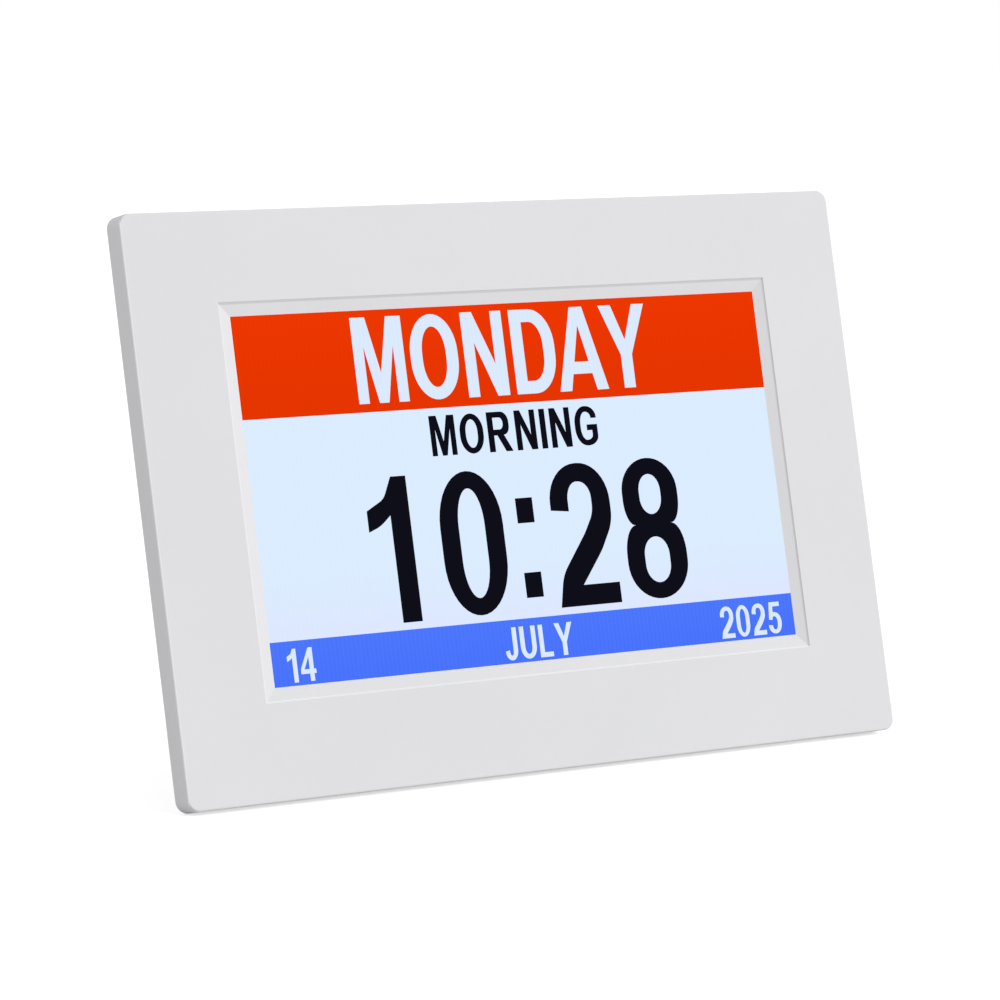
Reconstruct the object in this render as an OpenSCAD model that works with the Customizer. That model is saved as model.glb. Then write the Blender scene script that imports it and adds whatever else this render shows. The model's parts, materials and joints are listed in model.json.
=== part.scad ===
// Day clock with a 7 inch display in a slim frame, leaning back on a fold-out leg.
//
// The pieces are drawn on the upright panel: x to the right, y from the front face (y = 0)
// to the back, z up from the frame's lower edge (z = 0). lean_back() then tips the panel back
// and puts the origin on the table, under the middle of the clock. Millimetres throughout.

/* [Frame] */
// Width of the front frame
frame_w = 208.6; // [204:0.1:230]
// Height of the front frame
frame_h = 136.6; // [134.6:0.1:150]
// Depth of the front frame's edge
frame_d = 5.8; // [5.6:0.1:8]
// Radius of the frame's corners
frame_r = 3; // [2.5:0.5:8]
// Thickness of the moulded walls
wall = 2; // [1.6:0.2:2.2]

/* [Window] */
// Width of the display area that shows
view_w = 154.1; // [150:0.1:154.8]
// Height of the display area that shows
view_h = 85.9; // [82:0.1:86.8]
// Height of the window's centre above the frame's centre
view_up = 0.7; // [0:0.1:1]
// How far the window's sloped edge reaches outwards
slope_w = 3.35; // [2:0.05:6]
// Depth of the window's lip behind the front face
lip_y = 0.8; // [0.6:0.1:1.2]

/* [Rear housing] */
// Width of the raised housing
back_w = 174; // [174:1:180]
// Height of the raised housing
back_h = 114; // [114:1:116]
// Height of the housing's lower edge above the frame's lower edge
back_low = 7; // [6:0.5:7]
// Depth from the front face to the housing's back
back_d = 20; // [20:0.5:24]
// Radius of the housing's corners
back_r = 8; // [6:0.5:8]
// Radius of the edge round the housing's back
back_edge = 3; // [1:0.5:3]

/* [Stand] */
// Angle by which the panel leans back, in degrees
lean = 12.1; // [8:0.1:15]
// Angle between the open leg and the panel, in degrees
leg_open = 28; // [25:1:32]
// Height of the hinge pin above the frame's lower edge
pin_up = 94; // [92:0.5:95]
// Radius of the hinge pin
pin_r = 1.2; // [1:0.1:1.4]
// Width of the leg at the hinge
leg_w = 62; // [56:1:64]
// Width of the leg at the foot
foot_w = 46; // [36:1:52]
// Radius of the rubber foot
foot_r = 2.4; // [2:0.1:2.4]

/* [Keys] */
// Width of a key cap
key_w = 8; // [6:0.5:8.5]
// Height of a key cap
key_h = 5; // [4:0.5:6]
// Distance from one key to the next
key_pitch = 11.5; // [11.2:0.1:12]
// How far a key stands out of the back
key_proud = 0.9; // [0.5:0.1:2]

/* [Wall hanging] */
// Distance between the two keyholes
hang_pitch = 124; // [120:1:126]
// Radius of a keyhole's round entry
hang_r = 4; // [3.5:0.1:4.5]
// Width of a keyhole's slot
hang_slot = 4; // [3.5:0.1:4]

/* [Sound and power] */
// Radius of the loudspeaker
speaker_r = 14; // [12:0.5:15]
// Radius of one hole of the grille
grille_r = 0.8; // [0.6:0.1:1]
// Radius of the power inlet's socket
jack_r = 1.8; // [1.7:0.05:1.9]

/* [Hidden] */
$fn = 48;
key_names = ["menu", "left", "right", "up", "down", "ok"];

// Finishes
white_abs = [0.88, 0.88, 0.89];
steel = [0.72, 0.73, 0.75];
black_glass = [0.16, 0.17, 0.2];
clear_sheet = [0.85, 0.9, 0.92, 0.6];
white_sheet = [0.96, 0.96, 0.94];
board_green = [0.1, 0.35, 0.2];
chip_black = [0.1, 0.1, 0.11];
cream_nylon = [0.9, 0.86, 0.75];
amber_film = [0.75, 0.5, 0.2];
soft_black = [0.13, 0.13, 0.14];

gap = 0.3;             // between pieces that move past each other
cut = 1;               // how far a cutting shape runs past the wall that it cuts
front_edge = 0.45;     // radius along the frame's front edge
rear_edge = 0.5;       // radius along the frame's rear edge

// Depths (y) of the display's layers, from the front face to the back
steel_t = 0.3;                          // sheet of the display's can and rear plate
film_t = 0.2;                           // one film, polariser or sheet
glass_t = 0.5;                          // one glass of the display
polariser_y = lip_y + 0.1;
filter_y = lip_y + steel_t;
tft_y = filter_y + glass_t;
rear_polariser_y = tft_y + glass_t;
prism_y = rear_polariser_y + film_t + 0.1;
diffuser_y = prism_y + film_t + 0.05;
guide_y = diffuser_y + film_t + 0.05;
guide_t = 2.4;
reflector_y = guide_y + guide_t + 0.05;
lcd_back = lip_y + 5.7;                 // back of the whole display module
plate_y = lcd_back - steel_t;

// Outline of the display module and of its layers
lcd_w = 164.9;
lcd_h = 100;
sheet_w = 157;
sheet_h = 90;
glass_h = 90.6;
view_z = frame_h / 2 + view_up;         // centre of the picture
lcd_z = view_z - 1.1;                   // the glass has its ledge below the picture
lcd_low = lcd_z - lcd_h / 2;
ledge_low = lcd_low + 1.8;
led_h = 1.3;
led_z = view_z - sheet_h / 2 - led_h;   // lower side of the diodes

// Rear cover
flange_y = frame_d - 1.6;               // front of its flange
inner_back = back_d - wall;             // inside of the housing's back
back_z = back_low + back_h / 2;         // centre of the raised housing

// The leg: its recess, its hinge and its length up from the table
recess_y = inner_back - 3;              // floor of the recess
tray_y = recess_y - 1.6;                // inside of that floor
recess_w = leg_w + 2;
recess_top = pin_up + 7;
ear_t = 4;
washer_t = 0.3;
pin_y = (recess_y + back_d) / 2;
barrel_r = (back_d - recess_y) / 2 - gap;
lowest = rear_edge * cos(lean) - (frame_d - rear_edge) * sin(lean) - rear_edge;
pin_height = pin_up * cos(lean) - pin_y * sin(lean) - lowest;
leg_len = (pin_height - foot_r) / cos(leg_open - lean);
foot_y = pin_y + leg_len * sin(leg_open);
foot_z = pin_up - leg_len * cos(leg_open);

// Middle of the leaning clock along the depth of the table, for the origin
nearest = front_edge * (cos(lean) + sin(lean)) - front_edge;
farthest = foot_y * cos(lean) + foot_z * sin(lean) + foot_r;
middle = (nearest + farthest) / 2;

// Main board, and what stands on it
board_t = 1.6;
board_y = lcd_back + 1.5;
board_back = board_y + board_t;
board_x = 59.5;
board_z = 56;
board_w = 42;
board_h = 74;
board_post = [board_w / 2 - 4, board_h / 2 - 4];
post_r = 2.6;
pilot_r = 0.9;
tail_x = board_x;
tail_t = 0.2;
tail_w = 26;
tail_y = lcd_back + 0.5;
socket_z = 26;                          // where the tail ends in its socket
lead_socket_at = [[43, 45], [43, 34], [50, 85]];
lead_socket_h = 3.2;
lead_y = board_back + lead_socket_h / 2;
cell_at = [68, 76];
cell_r = 10;

// Keys and their board
key_z = 111;
key_board_y = inner_back - 7;
key_board_back = key_board_y + board_t;
key_board_w = 6 * key_pitch + 14;
key_board_h = 11;
key_post = key_board_w / 2 - 4;
switch_w = 6;
switch_top = key_board_back + 3.1;
plunger_r = 1.75;
plunger_slack = 0.1;
plunger_foot = switch_top - 0.7;
cap_rim_t = 1.4;
cap_under = inner_back - gap - cap_rim_t;

// Loudspeaker, power inlet, keyholes and case screws
speaker_x = -60;
speaker_z = 50;
gasket_t = 0.6;
basket_t = 0.6;
speaker_front = inner_back - gasket_t;
speaker_rear = speaker_front - 5.2;     // where the magnet meets the basket
jack_w = 5.4;
jack_z = 30;
jack_y = board_back + jack_w / 2;
jack_face = back_w / 2 - 0.4;
hang_z = 99;
hang_rise = 7;
screw_x = frame_w / 2 - 9;
screw_zs = [10, frame_h / 2, frame_h - 9];
screw_r = 1.15;
head_sink = 0.6;
case_shank = frame_d - head_sink - wall - 0.3;

// Ribs in the rear cover that press on the display through foam pads: [x, low z, high z]
pad_t = 1;
pad_w = 3;
pad_ribs = [[-79, 24, 112], [-38, 56, 98], [-38, 24, 38], [36.2, 56, 98], [83, 40, 112]];

// ---- Placing and basic forms ----

// Tips the upright panel back and stands it on the table, centred on the origin.
module lean_back() {
  translate([0, -middle, -lowest]) rotate([-lean, 0, 0]) children();
}

// A flat outline in x and z, as a plate between two depths.
module plate(y0, y1) {
  translate([0, y1, 0]) rotate([90, 0, 0]) linear_extrude(y1 - y0) children();
}

// A round post along the depth, at a point of the panel.
module post(x, z, y0, y1, r) {
  translate([x, y1, z]) rotate([90, 0, 0]) cylinder(h = y1 - y0, r = r);
}

// A profile drawn as (radius, depth from y0), turned round an axis along the depth.
module turned(x, z, y0) {
  translate([x, y0, z]) rotate([-90, 0, 0]) rotate_extrude() children();
}

// A rectangle centred on a point of the panel.
module panel_rect(w, h, z, x = 0) {
  translate([x - w / 2, z - h / 2]) square([w, h]);
}

// A rectangle with round corners, centred on the origin.
module round_rect(w, h, r) {
  square([w - 2 * r, h], center = true);
  square([w, h - 2 * r], center = true);
  for (x = [-1, 1], z = [-1, 1]) translate([x * (w / 2 - r), z * (h / 2 - r)]) circle(r);
}

// A slot with round ends, w wide and h high over all, centred on the origin.
module stadium(w, h) {
  square([w - h, h], center = true);
  for (x = [-1, 1]) translate([x * (w - h) / 2, 0]) circle(h / 2);
}

// Half of a slab's cross-section: r wide and d deep, with its outer edges rounded.
module edge_profile(r, d, near, far) {
  translate([0, near]) square([r, d - near - far]);
  if (near > 0) {
    square([r - near, 2 * near]);
    translate([r - near, near]) circle(near);
  }
  if (far > 0) {
    translate([0, d - 2 * far]) square([r - far, 2 * far]);
    translate([r - far, d - far]) circle(far);
  }
}

// The whole cross-section of a slab w wide.
module slab_profile(w, r, d, near, far) {
  translate([r - w / 2, 0]) square([w - 2 * r, d]);
  for (m = [0, 1]) mirror([m, 0]) translate([w / 2 - r, 0]) edge_profile(r, d, near, far);
}

// A slab between two depths, with corners of radius r and its near and far edges rounded.
module soft_slab(w, h, r, z, y0, y1, near, far) {
  d = y1 - y0;
  translate([0, y0, z]) rotate([-90, 0, 0]) {
    for (x = [-1, 1], v = [-1, 1])
      translate([x * (w / 2 - r), v * (h / 2 - r), 0]) rotate_extrude() edge_profile(r, d, near, far);
    rotate([90, 0, 0]) linear_extrude(h - 2 * r, center = true) slab_profile(w, r, d, near, far);
    rotate([90, 0, 90]) linear_extrude(w - 2 * r, center = true) slab_profile(h, r, d, near, far);
  }
}

// A straight round rod from point a to point b.
module rod(a, b, r) {
  v = b - a;
  translate(a) rotate([0, acos(v.z / norm(v)), atan2(v.y, v.x)]) cylinder(h = norm(v), r = r);
}

// A path's points after its corners are cut back, steps times over.
function rounded(p, steps) = steps == 0 ? p : rounded([
  p[0],
  for (i = [0:len(p) - 2]) each [0.75 * p[i] + 0.25 * p[i + 1], 0.25 * p[i] + 0.75 * p[i + 1]],
  p[len(p) - 1],
], steps - 1);

function unit(v) = v / norm(v);

function tangent(p, i) = unit(p[min(i + 1, len(p) - 1)] - p[max(i - 1, 0)]);

// A normal at each point, carried along the path without twist.
function normals(p, n, i = 0) = i == len(p) ? [] : let (t = tangent(p, i), u = unit(n - (n * t) * t))
  concat([u], normals(p, u, i + 1));

// An insulated lead of radius r through its points, with easy bends.
module lead(points, r) {
  sides = 8;
  p = rounded(points, 2);
  u = normals(p, [0.3, 0.5, 0.8]);
  last = len(p) - 1;
  corners = [
    for (i = [0:last], k = [0:sides - 1])
      let (t = tangent(p, i), a = k * 360 / sides) p[i] + r * (cos(a) * u[i] + sin(a) * cross(t, u[i]))
  ];
  walls = [
    for (i = [0:last - 1], k = [0:sides - 1])
      let (n = (k + 1) % sides, a = i * sides + k, b = i * sides + n, c = b + sides, d = a + sides)
        each [[a, d, c], [a, c, b]]
  ];
  ends = [[for (k = [0:sides - 1]) k], [for (k = [0:sides - 1]) (last + 1) * sides - 1 - k]];
  polyhedron(corners, concat(walls, ends));
}

// A pan-head screw along the depth: under its head at depth y, its shank to the front.
module screw(x, z, y, shank, r, head_r, head_h) {
  turned(x, z, y) {
    square([head_r, head_h / 2]);
    square([head_r - 0.5, head_h]);
    translate([head_r - 0.5, head_h / 2]) intersection() {
      circle(0.5);
      square(0.5);
    }
  }
  post(x, z, y - shank, y + 0.1, r);
}

// ---- Casing ----

// Cross-section of the window's cut: steep at the front face, where it is carried out past it,
// then easier down to the lip. The slope's points are shares of its width and of its depth.
module window_wedge(size) {
  slope = [[0.965, 0.2], [0.87, 0.34], [0, 1]];
  steep = (1 - slope[0].x) / slope[0].y;
  side = concat(
    [[size / 2 + slope_w * (1 + steep * cut / lip_y), -cut]],
    [for (p = slope) [size / 2 + slope_w * p.x, lip_y * p.y]],
    [[size / 2, wall + cut]]
  );
  polygon(concat(side, [for (i = [len(side) - 1:-1:0]) [-side[i].x, side[i].y]]));
}

// The window's cut: where an upright wedge and a level one meet, with mitred corners.
module window_cut() {
  reach = frame_w;
  translate([0, 0, view_z]) intersection() {
    linear_extrude(reach, center = true) window_wedge(view_w);
    rotate([0, 90, 0]) linear_extrude(reach, center = true) window_wedge(view_h);
  }
}

module front_frame() {
  rib_t = 1.2;
  rib_top = flange_y - gap;
  slack = 0.4;
  side = (frame_w - lcd_w) / 2 - wall - slack;
  color(white_abs) lean_back() difference() {
    union() {
      difference() {
        soft_slab(frame_w, frame_h, frame_r, frame_h / 2, 0, frame_d, front_edge, rear_edge);
        translate([0, 0, frame_h / 2]) plate(wall, frame_d + cut)
          round_rect(frame_w - 2 * wall, frame_h - 2 * wall, 0.5);
      }
      // block that becomes the ribs round the display
      plate(wall, rib_top) panel_rect(lcd_w + slack + 2 * rib_t, lcd_h + slack + 2 * rib_t, lcd_z);
      // stiffening ribs out to the rim
      for (z = [24, 46, 90, 112], x = [-1, 1])
        plate(wall, rib_top) panel_rect(side, rib_t, z, x * (frame_w / 2 - wall - side / 2));
      for (x = [-66:33:66]) plate(wall, rib_top)
        panel_rect(rib_t, frame_h - wall - lcd_low - lcd_h - slack, (frame_h - wall + lcd_low + lcd_h + slack) / 2, x);
      for (x = [-1, 1], z = screw_zs) post(x * screw_x, z, wall, flange_y, 3);
    }
    window_cut();
    // pocket for the display, and the room for its flexible tail
    plate(lip_y, rib_top + cut) {
      panel_rect(lcd_w + slack, lcd_h + slack, lcd_z);
      panel_rect(tail_w + 4, 12, lcd_low, tail_x);
    }
    for (x = [-1, 1], z = screw_zs) post(x * screw_x, z, wall + 0.2, flange_y + cut, screw_r);
  }
}

// The raised housing's form, drawn smaller by inset for its inside.
module housing(inset, y0, y1, edge) {
  soft_slab(back_w - 2 * inset, back_h - 2 * inset, back_r - inset, back_z, y0, y1, 0, edge);
}

// One keyhole: a round entry with a slot above it for the screw's neck.
module keyhole() {
  circle(hang_r);
  translate([-hang_slot / 2, 0]) square([hang_slot, hang_rise]);
  translate([0, hang_rise]) circle(hang_slot / 2);
}

// The grille's holes: a hexagonal pattern inside a circle.
module grille_holes() {
  pitch = 3.6;
  row_pitch = pitch * sin(60);
  reach = speaker_r - 3;
  rows = floor(reach / row_pitch);
  for (row = [-rows:rows], i = [-rows:rows]) {
    at = [(i + (row % 2 == 0 ? 0 : 0.5)) * pitch, row * row_pitch];
    if (norm(at) < reach) post(speaker_x + at.x, speaker_z + at.y, inner_back - cut, back_d + cut, grille_r);
  }
}

// The cooling slots over the main board.
module vent_slots() {
  for (i = [-4:4]) translate([board_x, 0, 56 + i * 4.4])
    plate(inner_back - cut, back_d + cut) stadium(26, 2);
}

// Posts of the rear cover for its two boards.
module board_posts(y1, r, from = 0) {
  for (x = [-1, 1], z = [-1, 1])
    post(board_x + x * board_post.x, board_z + z * board_post.y, board_back - from, y1, r);
  for (x = [-1, 1]) post(x * key_post, key_z, key_board_back - from, y1, r);
}

// What stands inside the rear cover, before it is trimmed to the housing.
module cover_inside() {
  // tray of the leg's recess, with thick ears for the pin
  plate(tray_y, back_d) translate([-recess_w / 2 - wall, 0])
    square([recess_w + 2 * wall, recess_top + wall]);
  plate(tray_y, back_d) panel_rect(recess_w + 2 * ear_t, 12, pin_up);
  // closed pockets behind the keyholes
  for (x = [-1, 1]) plate(inner_back - 5, back_d)
    translate([x * hang_pitch / 2, hang_z + hang_rise / 2]) round_rect(13, hang_rise + 14, 2);
  // ring that holds the loudspeaker
  post(speaker_x, speaker_z, inner_back - 4.5, back_d, speaker_r + 1.8);
  board_posts(back_d, post_r);
  for (p = pad_ribs) plate(lcd_back + pad_t, back_d) translate([p[0] - 0.8, p[1]]) square([1.6, p[2] - p[1]]);
}

module rear_cover() {
  color(white_abs) lean_back() difference() {
    union() {
      // flange inside the frame's rim
      translate([0, 0, frame_h / 2]) plate(flange_y, frame_d)
        round_rect(frame_w - 2 * wall - gap, frame_h - 2 * wall - gap, 0.5);
      housing(0, flange_y, back_d, back_edge);
    }
    difference() {
      housing(wall, flange_y - cut, inner_back, back_edge / 2);
      cover_inside();
    }
    // recess for the folded leg, open through the housing's lower wall
    plate(recess_y, back_d + cut) translate([-recess_w / 2, back_low - cut])
      square([recess_w, recess_top - back_low + cut]);
    rod([-recess_w / 2 - ear_t - cut, pin_y, pin_up], [recess_w / 2 + ear_t + cut, pin_y, pin_up], pin_r + 0.02);
    // keyholes, and the room for the screw heads behind them
    for (x = [-1, 1]) translate([x * hang_pitch / 2, 0, hang_z]) {
      plate(inner_back - cut, back_d + cut) keyhole();
      plate(inner_back - 3.6, inner_back) translate([0, hang_rise / 2])
        round_rect(2 * hang_r + 1, hang_rise + 2 * hang_r + 1, 1);
    }
    // inside of the loudspeaker's ring, and its grille
    post(speaker_x, speaker_z, inner_back - 5.5, inner_back, speaker_r + 0.2);
    grille_holes();
    vent_slots();
    for (i = [0:5]) translate([key_x(i), 0, key_z]) plate(inner_back - cut, back_d + cut)
      round_rect(key_w + 2 * gap, key_h + 2 * gap, 1);
    // opening for the power inlet's nose
    rod([back_w / 2 - wall - cut, jack_y, jack_z], [back_w / 2 + cut, jack_y, jack_z], jack_w / 2 + 0.2);
    for (x = [-1, 1], z = screw_zs) {
      post(x * screw_x, z, flange_y - cut, frame_d + cut, screw_r + 0.15);
      post(x * screw_x, z, frame_d - head_sink, frame_d + cut, 2.5);
    }
    board_posts(inner_back - 1, pilot_r, cut);
  }
}

module case_screws() {
  color(steel) lean_back() for (x = [-1, 1], z = screw_zs)
    screw(x * screw_x, z, frame_d - head_sink, case_shank, screw_r - 0.05, 2.2, 1.3);
}

// ---- Display module ----

module lcd_bezel() {
  lip = 3;
  color(steel) lean_back() difference() {
    plate(lip_y, lcd_back) panel_rect(lcd_w, lcd_h, lcd_z);
    plate(lip_y + steel_t, lcd_back + cut) panel_rect(lcd_w - 2 * steel_t, lcd_h - 2 * steel_t, lcd_z);
    plate(lip_y - cut, lcd_back) panel_rect(view_w + lip, view_h + lip, view_z);
    // notch for the flexible tail
    plate(lip_y + steel_t, lcd_back + cut) panel_rect(tail_w + 4, 3, lcd_low, tail_x);
    // clip windows for the backlight's frame
    for (x = [-1, 1], z = [-30, 0, 30]) translate([x * lcd_w / 2, lip_y + 3.4, lcd_z + z])
      cube([3, 1.2, 6], center = true);
  }
}

// A film or a glass of the display, centred on the picture.
module layer(w, h, y, t, shade) {
  color(shade) lean_back() plate(y, y + t) panel_rect(w, h, view_z);
}

module front_polariser() layer(view_w + 2.4, view_h + 2.4, polariser_y, film_t, black_glass);

module filter_glass() layer(158.8, glass_h, filter_y, glass_t, clear_sheet);

module tft_glass() {
  top = view_z + glass_h / 2;
  color(clear_sheet) lean_back() plate(tft_y, tft_y + glass_t) translate([-81, ledge_low])
    square([162, top - ledge_low]);
}

module rear_polariser() layer(sheet_w, sheet_h, rear_polariser_y, film_t, black_glass);

module prism_sheet() layer(sheet_w, sheet_h, prism_y, film_t, clear_sheet);

module diffuser_sheet() layer(sheet_w, sheet_h, diffuser_y, film_t, white_sheet);

module light_guide() layer(sheet_w, sheet_h, guide_y, guide_t, clear_sheet);

module reflector_sheet() layer(sheet_w, sheet_h, reflector_y, film_t, white_sheet);

module backlight_frame() {
  slack = 0.2;
  color(white_sheet) lean_back() difference() {
    plate(rear_polariser_y, plate_y)
      panel_rect(lcd_w - 2 * steel_t - slack, lcd_h - 2 * steel_t - slack, lcd_z);
    plate(rear_polariser_y - cut, plate_y + cut) panel_rect(sheet_w + 0.6, sheet_h + 0.6, view_z);
    // room for the strip of diodes below the light guide
    plate(guide_y - 0.1, plate_y + cut) panel_rect(sheet_w + 0.6, 6, view_z - sheet_h / 2);
    // notch for the flexible tail
    plate(rear_polariser_y - cut, lcd_back) panel_rect(tail_w + 4, 4.2, lcd_low, tail_x);
  }
}

module led_strip() {
  color(amber_film) lean_back() translate([-76, guide_y, led_z - film_t]) cube([152, guide_t, film_t]);
}

module backlight_leds() {
  count = 20;
  pitch = 7.6;
  color("lightyellow") lean_back() for (i = [0:count - 1])
    translate([(i - (count - 1) / 2) * pitch - 1.5, guide_y + 0.4, led_z]) cube([3, 1.6, led_h]);
}

module backlight_leads() {
  socket = lead_socket_at[1];
  start_y = guide_y + guide_t + 0.6;
  color("red") lean_back() for (k = [-1, 1])
    lead([[31 + k, start_y, led_z - 0.8], [31 + k, lcd_back + 2.6, led_z - 0.8],
          [36 + k * 0.2, lead_y, socket.y + k], [socket.x - 3, lead_y, socket.y + k]], 0.5);
}

module lcd_rear_plate() {
  color(steel) lean_back() difference() {
    plate(plate_y, lcd_back) panel_rect(lcd_w - 2 * steel_t - 0.2, lcd_h - 2 * steel_t - 0.2, lcd_z);
    for (x = [-60, 60], z = [-38, 38]) post(x, lcd_z + z, plate_y - cut, lcd_back + cut, 2);
    plate(plate_y - cut, lcd_back + cut) panel_rect(tail_w + 4, 4.2, lcd_low, tail_x);
    // way out for the backlight's leads
    plate(plate_y - cut, lcd_back + cut) translate([31, led_z - 0.8]) stadium(5, 2);
  }
}

// The flexible tail: bonded to the glass's ledge, round the lower edge and up to its socket.
// Its path is drawn as (depth, height) and stretched across its width.
module lcd_ribbon() {
  front = tft_y - tail_t;
  low = lcd_low - 1.4;
  bend = 1;
  rear = tail_y + tail_t;
  color(amber_film) lean_back() translate([tail_x - tail_w / 2, 0, 0])
    rotate([90, 0, 90]) linear_extrude(tail_w) {
      translate([front, low + bend]) square([tail_t, ledge_low + 1.2 - low - bend]);
      translate([front + bend, low]) square([rear - front - 2 * bend, tail_t]);
      translate([rear - tail_t, low + bend]) square([tail_t, socket_z - low - bend]);
      for (corner = [[front + bend, -1], [rear - bend, 1]]) translate([corner[0], low + bend]) intersection() {
        difference() {
          circle(bend);
          circle(bend - tail_t);
        }
        translate([corner[1] > 0 ? 0 : -bend, -bend]) square(bend);
      }
    }
}

module panel_pads() {
  color(soft_black) lean_back() for (p = pad_ribs) plate(lcd_back, lcd_back + pad_t)
    translate([p[0] - (p[0] > 80 ? pad_w - 0.8 : pad_w / 2), p[1]]) square([pad_w - 0.8, p[2] - p[1]]);
}

// ---- Main board ----

module main_board() {
  color(board_green) lean_back() difference() {
    plate(board_y, board_back) translate([board_x, board_z]) round_rect(board_w, board_h, 1);
    for (x = [-1, 1], z = [-1, 1])
      post(board_x + x * board_post.x, board_z + z * board_post.y, board_y - cut, board_back + cut, 1.2);
  }
}

// A small screw whose head sits on a board's front, its shank to the back.
module board_screw(x, z, y) {
  post(x, z, y - 1.1, y, 2);
  post(x, z, y - 0.1, y + 5, pilot_r - 0.05);
}

module board_screws() {
  color(steel) lean_back() for (x = [-1, 1], z = [-1, 1])
    board_screw(board_x + x * board_post.x, board_z + z * board_post.y, board_y);
}

// A chip on the main board: its body, and a row of legs along its two long sides.
module chip(at, w, h, t) {
  legs = floor(h / 1.6);
  leg_t = 0.4;
  lift = 0.3;
  color(chip_black) lean_back() {
    translate([at.x - w / 2, board_back + lift, at.y - h / 2]) cube([w, t, h]);
    for (i = [0:legs - 1], x = [-1, 1])
      translate([at.x + x * w / 2 - (x > 0 ? 0.2 : 0.8), board_back, at.y + (i - (legs - 1) / 2) * 1.3 - leg_t / 2])
        cube([1, lift + t / 2, leg_t]);
  }
}

module processor_chip() chip([55, 56], 13, 13, 1.2);

module memory_chip() chip([46, 72], 5, 6, 1.1);

module clock_crystal() {
  color(steel) lean_back() rod([53, board_back + 1, 68], [53, board_back + 1, 74.5], 1);
}

module power_coil() {
  color(soft_black) lean_back() plate(board_back, board_back + 3.6) translate([64, 40]) round_rect(7, 7, 1.5);
}

module board_capacitors() {
  can_r = 3;
  can_h = 5.4;
  color(steel) lean_back() for (z = [40, 48, 56]) {
    plate(board_back, board_back + 0.8) panel_rect(2 * can_r + 0.4, 2 * can_r + 0.4, z, 75.5);
    turned(75.5, z, board_back + 0.8) difference() {
      square([can_r, can_h - 0.8]);
      translate([can_r + 0.25, 1]) circle(0.5);
    }
  }
}

module ribbon_socket() {
  h = 4.5;
  color(cream_nylon) lean_back() difference() {
    plate(lcd_back + 0.25, board_y) panel_rect(tail_w + 4, h, socket_z + h / 2 - 1.5, tail_x);
    plate(tail_y - 0.03, tail_y + tail_t + 0.03)
      translate([tail_x - tail_w / 2 - 0.1, socket_z - 2 * h]) square([tail_w + 0.2, 2 * h + 0.1]);
  }
}

module lead_sockets() {
  w = 6;
  color(cream_nylon) lean_back() for (i = [0:2]) translate([lead_socket_at[i].x, 0, lead_socket_at[i].y])
    difference() {
      plate(board_back, board_back + lead_socket_h) square([w, w + 1], center = true);
      plate(board_back + 0.6, board_back + lead_socket_h - 0.6)
        translate(i < 2 ? [-2, 0] : [0, 2]) square([w - 1, w - 1], center = true);
    }
}

module cell_holder() {
  color(soft_black) lean_back() difference() {
    post(cell_at.x, cell_at.y, board_back, board_back + 4.4, cell_r + 1.2);
    post(cell_at.x, cell_at.y, board_back + 0.8, board_back + 5, cell_r + 0.1);
    // gap at the side where a fingernail lifts the cell
    plate(board_back + 1.6, board_back + 5) panel_rect(7, 6, cell_at.y - cell_r, cell_at.x);
  }
}

module coin_cell() {
  color(steel) lean_back() {
    post(cell_at.x, cell_at.y, board_back + 0.8, board_back + 1.2, cell_r - 1.4);
    post(cell_at.x, cell_at.y, board_back + 1.2, board_back + 4, cell_r);
  }
}

// The power inlet: a body on the board, a round nose in the housing's wall, a pin inside.
module dc_jack() {
  depth = 7;
  nose_r = jack_w / 2 - 0.1;
  color(chip_black) lean_back() difference() {
    union() {
      translate([jack_face - 13, board_back, jack_z - jack_w / 2]) cube([9.5, jack_w, jack_w]);
      rod([jack_face - 4, jack_y, jack_z], [jack_face, jack_y, jack_z], nose_r);
    }
    difference() {
      rod([jack_face - depth, jack_y, jack_z], [jack_face + cut, jack_y, jack_z], jack_r);
      rod([jack_face - depth - cut, jack_y, jack_z], [jack_face - 1, jack_y, jack_z], 0.6);
    }
  }
}

// ---- Loudspeaker ----

module speaker_basket() {
  foot_r = 8;
  color(steel) lean_back() turned(speaker_x, speaker_z, speaker_rear) {
    translate([3, 0]) square([foot_r - 3, basket_t]);
    polygon([[foot_r - 0.6, 0], [foot_r, 0], [12.4, 4.4], [speaker_r, 4.4], [speaker_r, 5.2],
             [11.8, 5.2], [foot_r - 0.6, basket_t]]);
  }
}

module speaker_cone() {
  color(soft_black) lean_back() turned(speaker_x, speaker_z, speaker_rear) {
    // half-roll surround, paper cone and dust cap
    translate([speaker_r - 3.8, 4.6]) intersection() {
      difference() {
        circle(0.9);
        circle(0.6);
      }
      translate([-1, 0]) square([2, 1]);
    }
    polygon([[speaker_r - 4.5, 4.6], [speaker_r - 4.5, 4.9], [3.6, 2.2], [3.6, 1.8]]);
    intersection() {
      translate([0, -2.6]) difference() {
        circle(6.2);
        circle(5.9);
      }
      translate([0, 1.8]) square([4, 3]);
    }
  }
}

module speaker_magnet() {
  color(soft_black) lean_back() turned(speaker_x, speaker_z, speaker_rear - 3.2) {
    square([7.5, 3.2]);
    square([2.6, 5]);
  }
}

module speaker_gasket() {
  color(soft_black) lean_back() turned(speaker_x, speaker_z, speaker_front)
    translate([speaker_r - 2, 0]) square([2, gasket_t]);
}

module speaker_leads() {
  socket = lead_socket_at[0];
  run_y = lcd_back + 2.6;
  start = [speaker_x + 9.6, speaker_rear + 0.2, 46];
  color("red") lean_back() for (k = [-1, 1])
    lead([[start.x, start.y, start.z + k], [start.x + 8, run_y, start.z + k],
          [32, run_y, socket.y + k], [37.6, lead_y, socket.y + k], [socket.x - 3, lead_y, socket.y + k]], 0.5);
}

// ---- Keys ----

function key_x(i) = (i - 2.5) * key_pitch;

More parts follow.
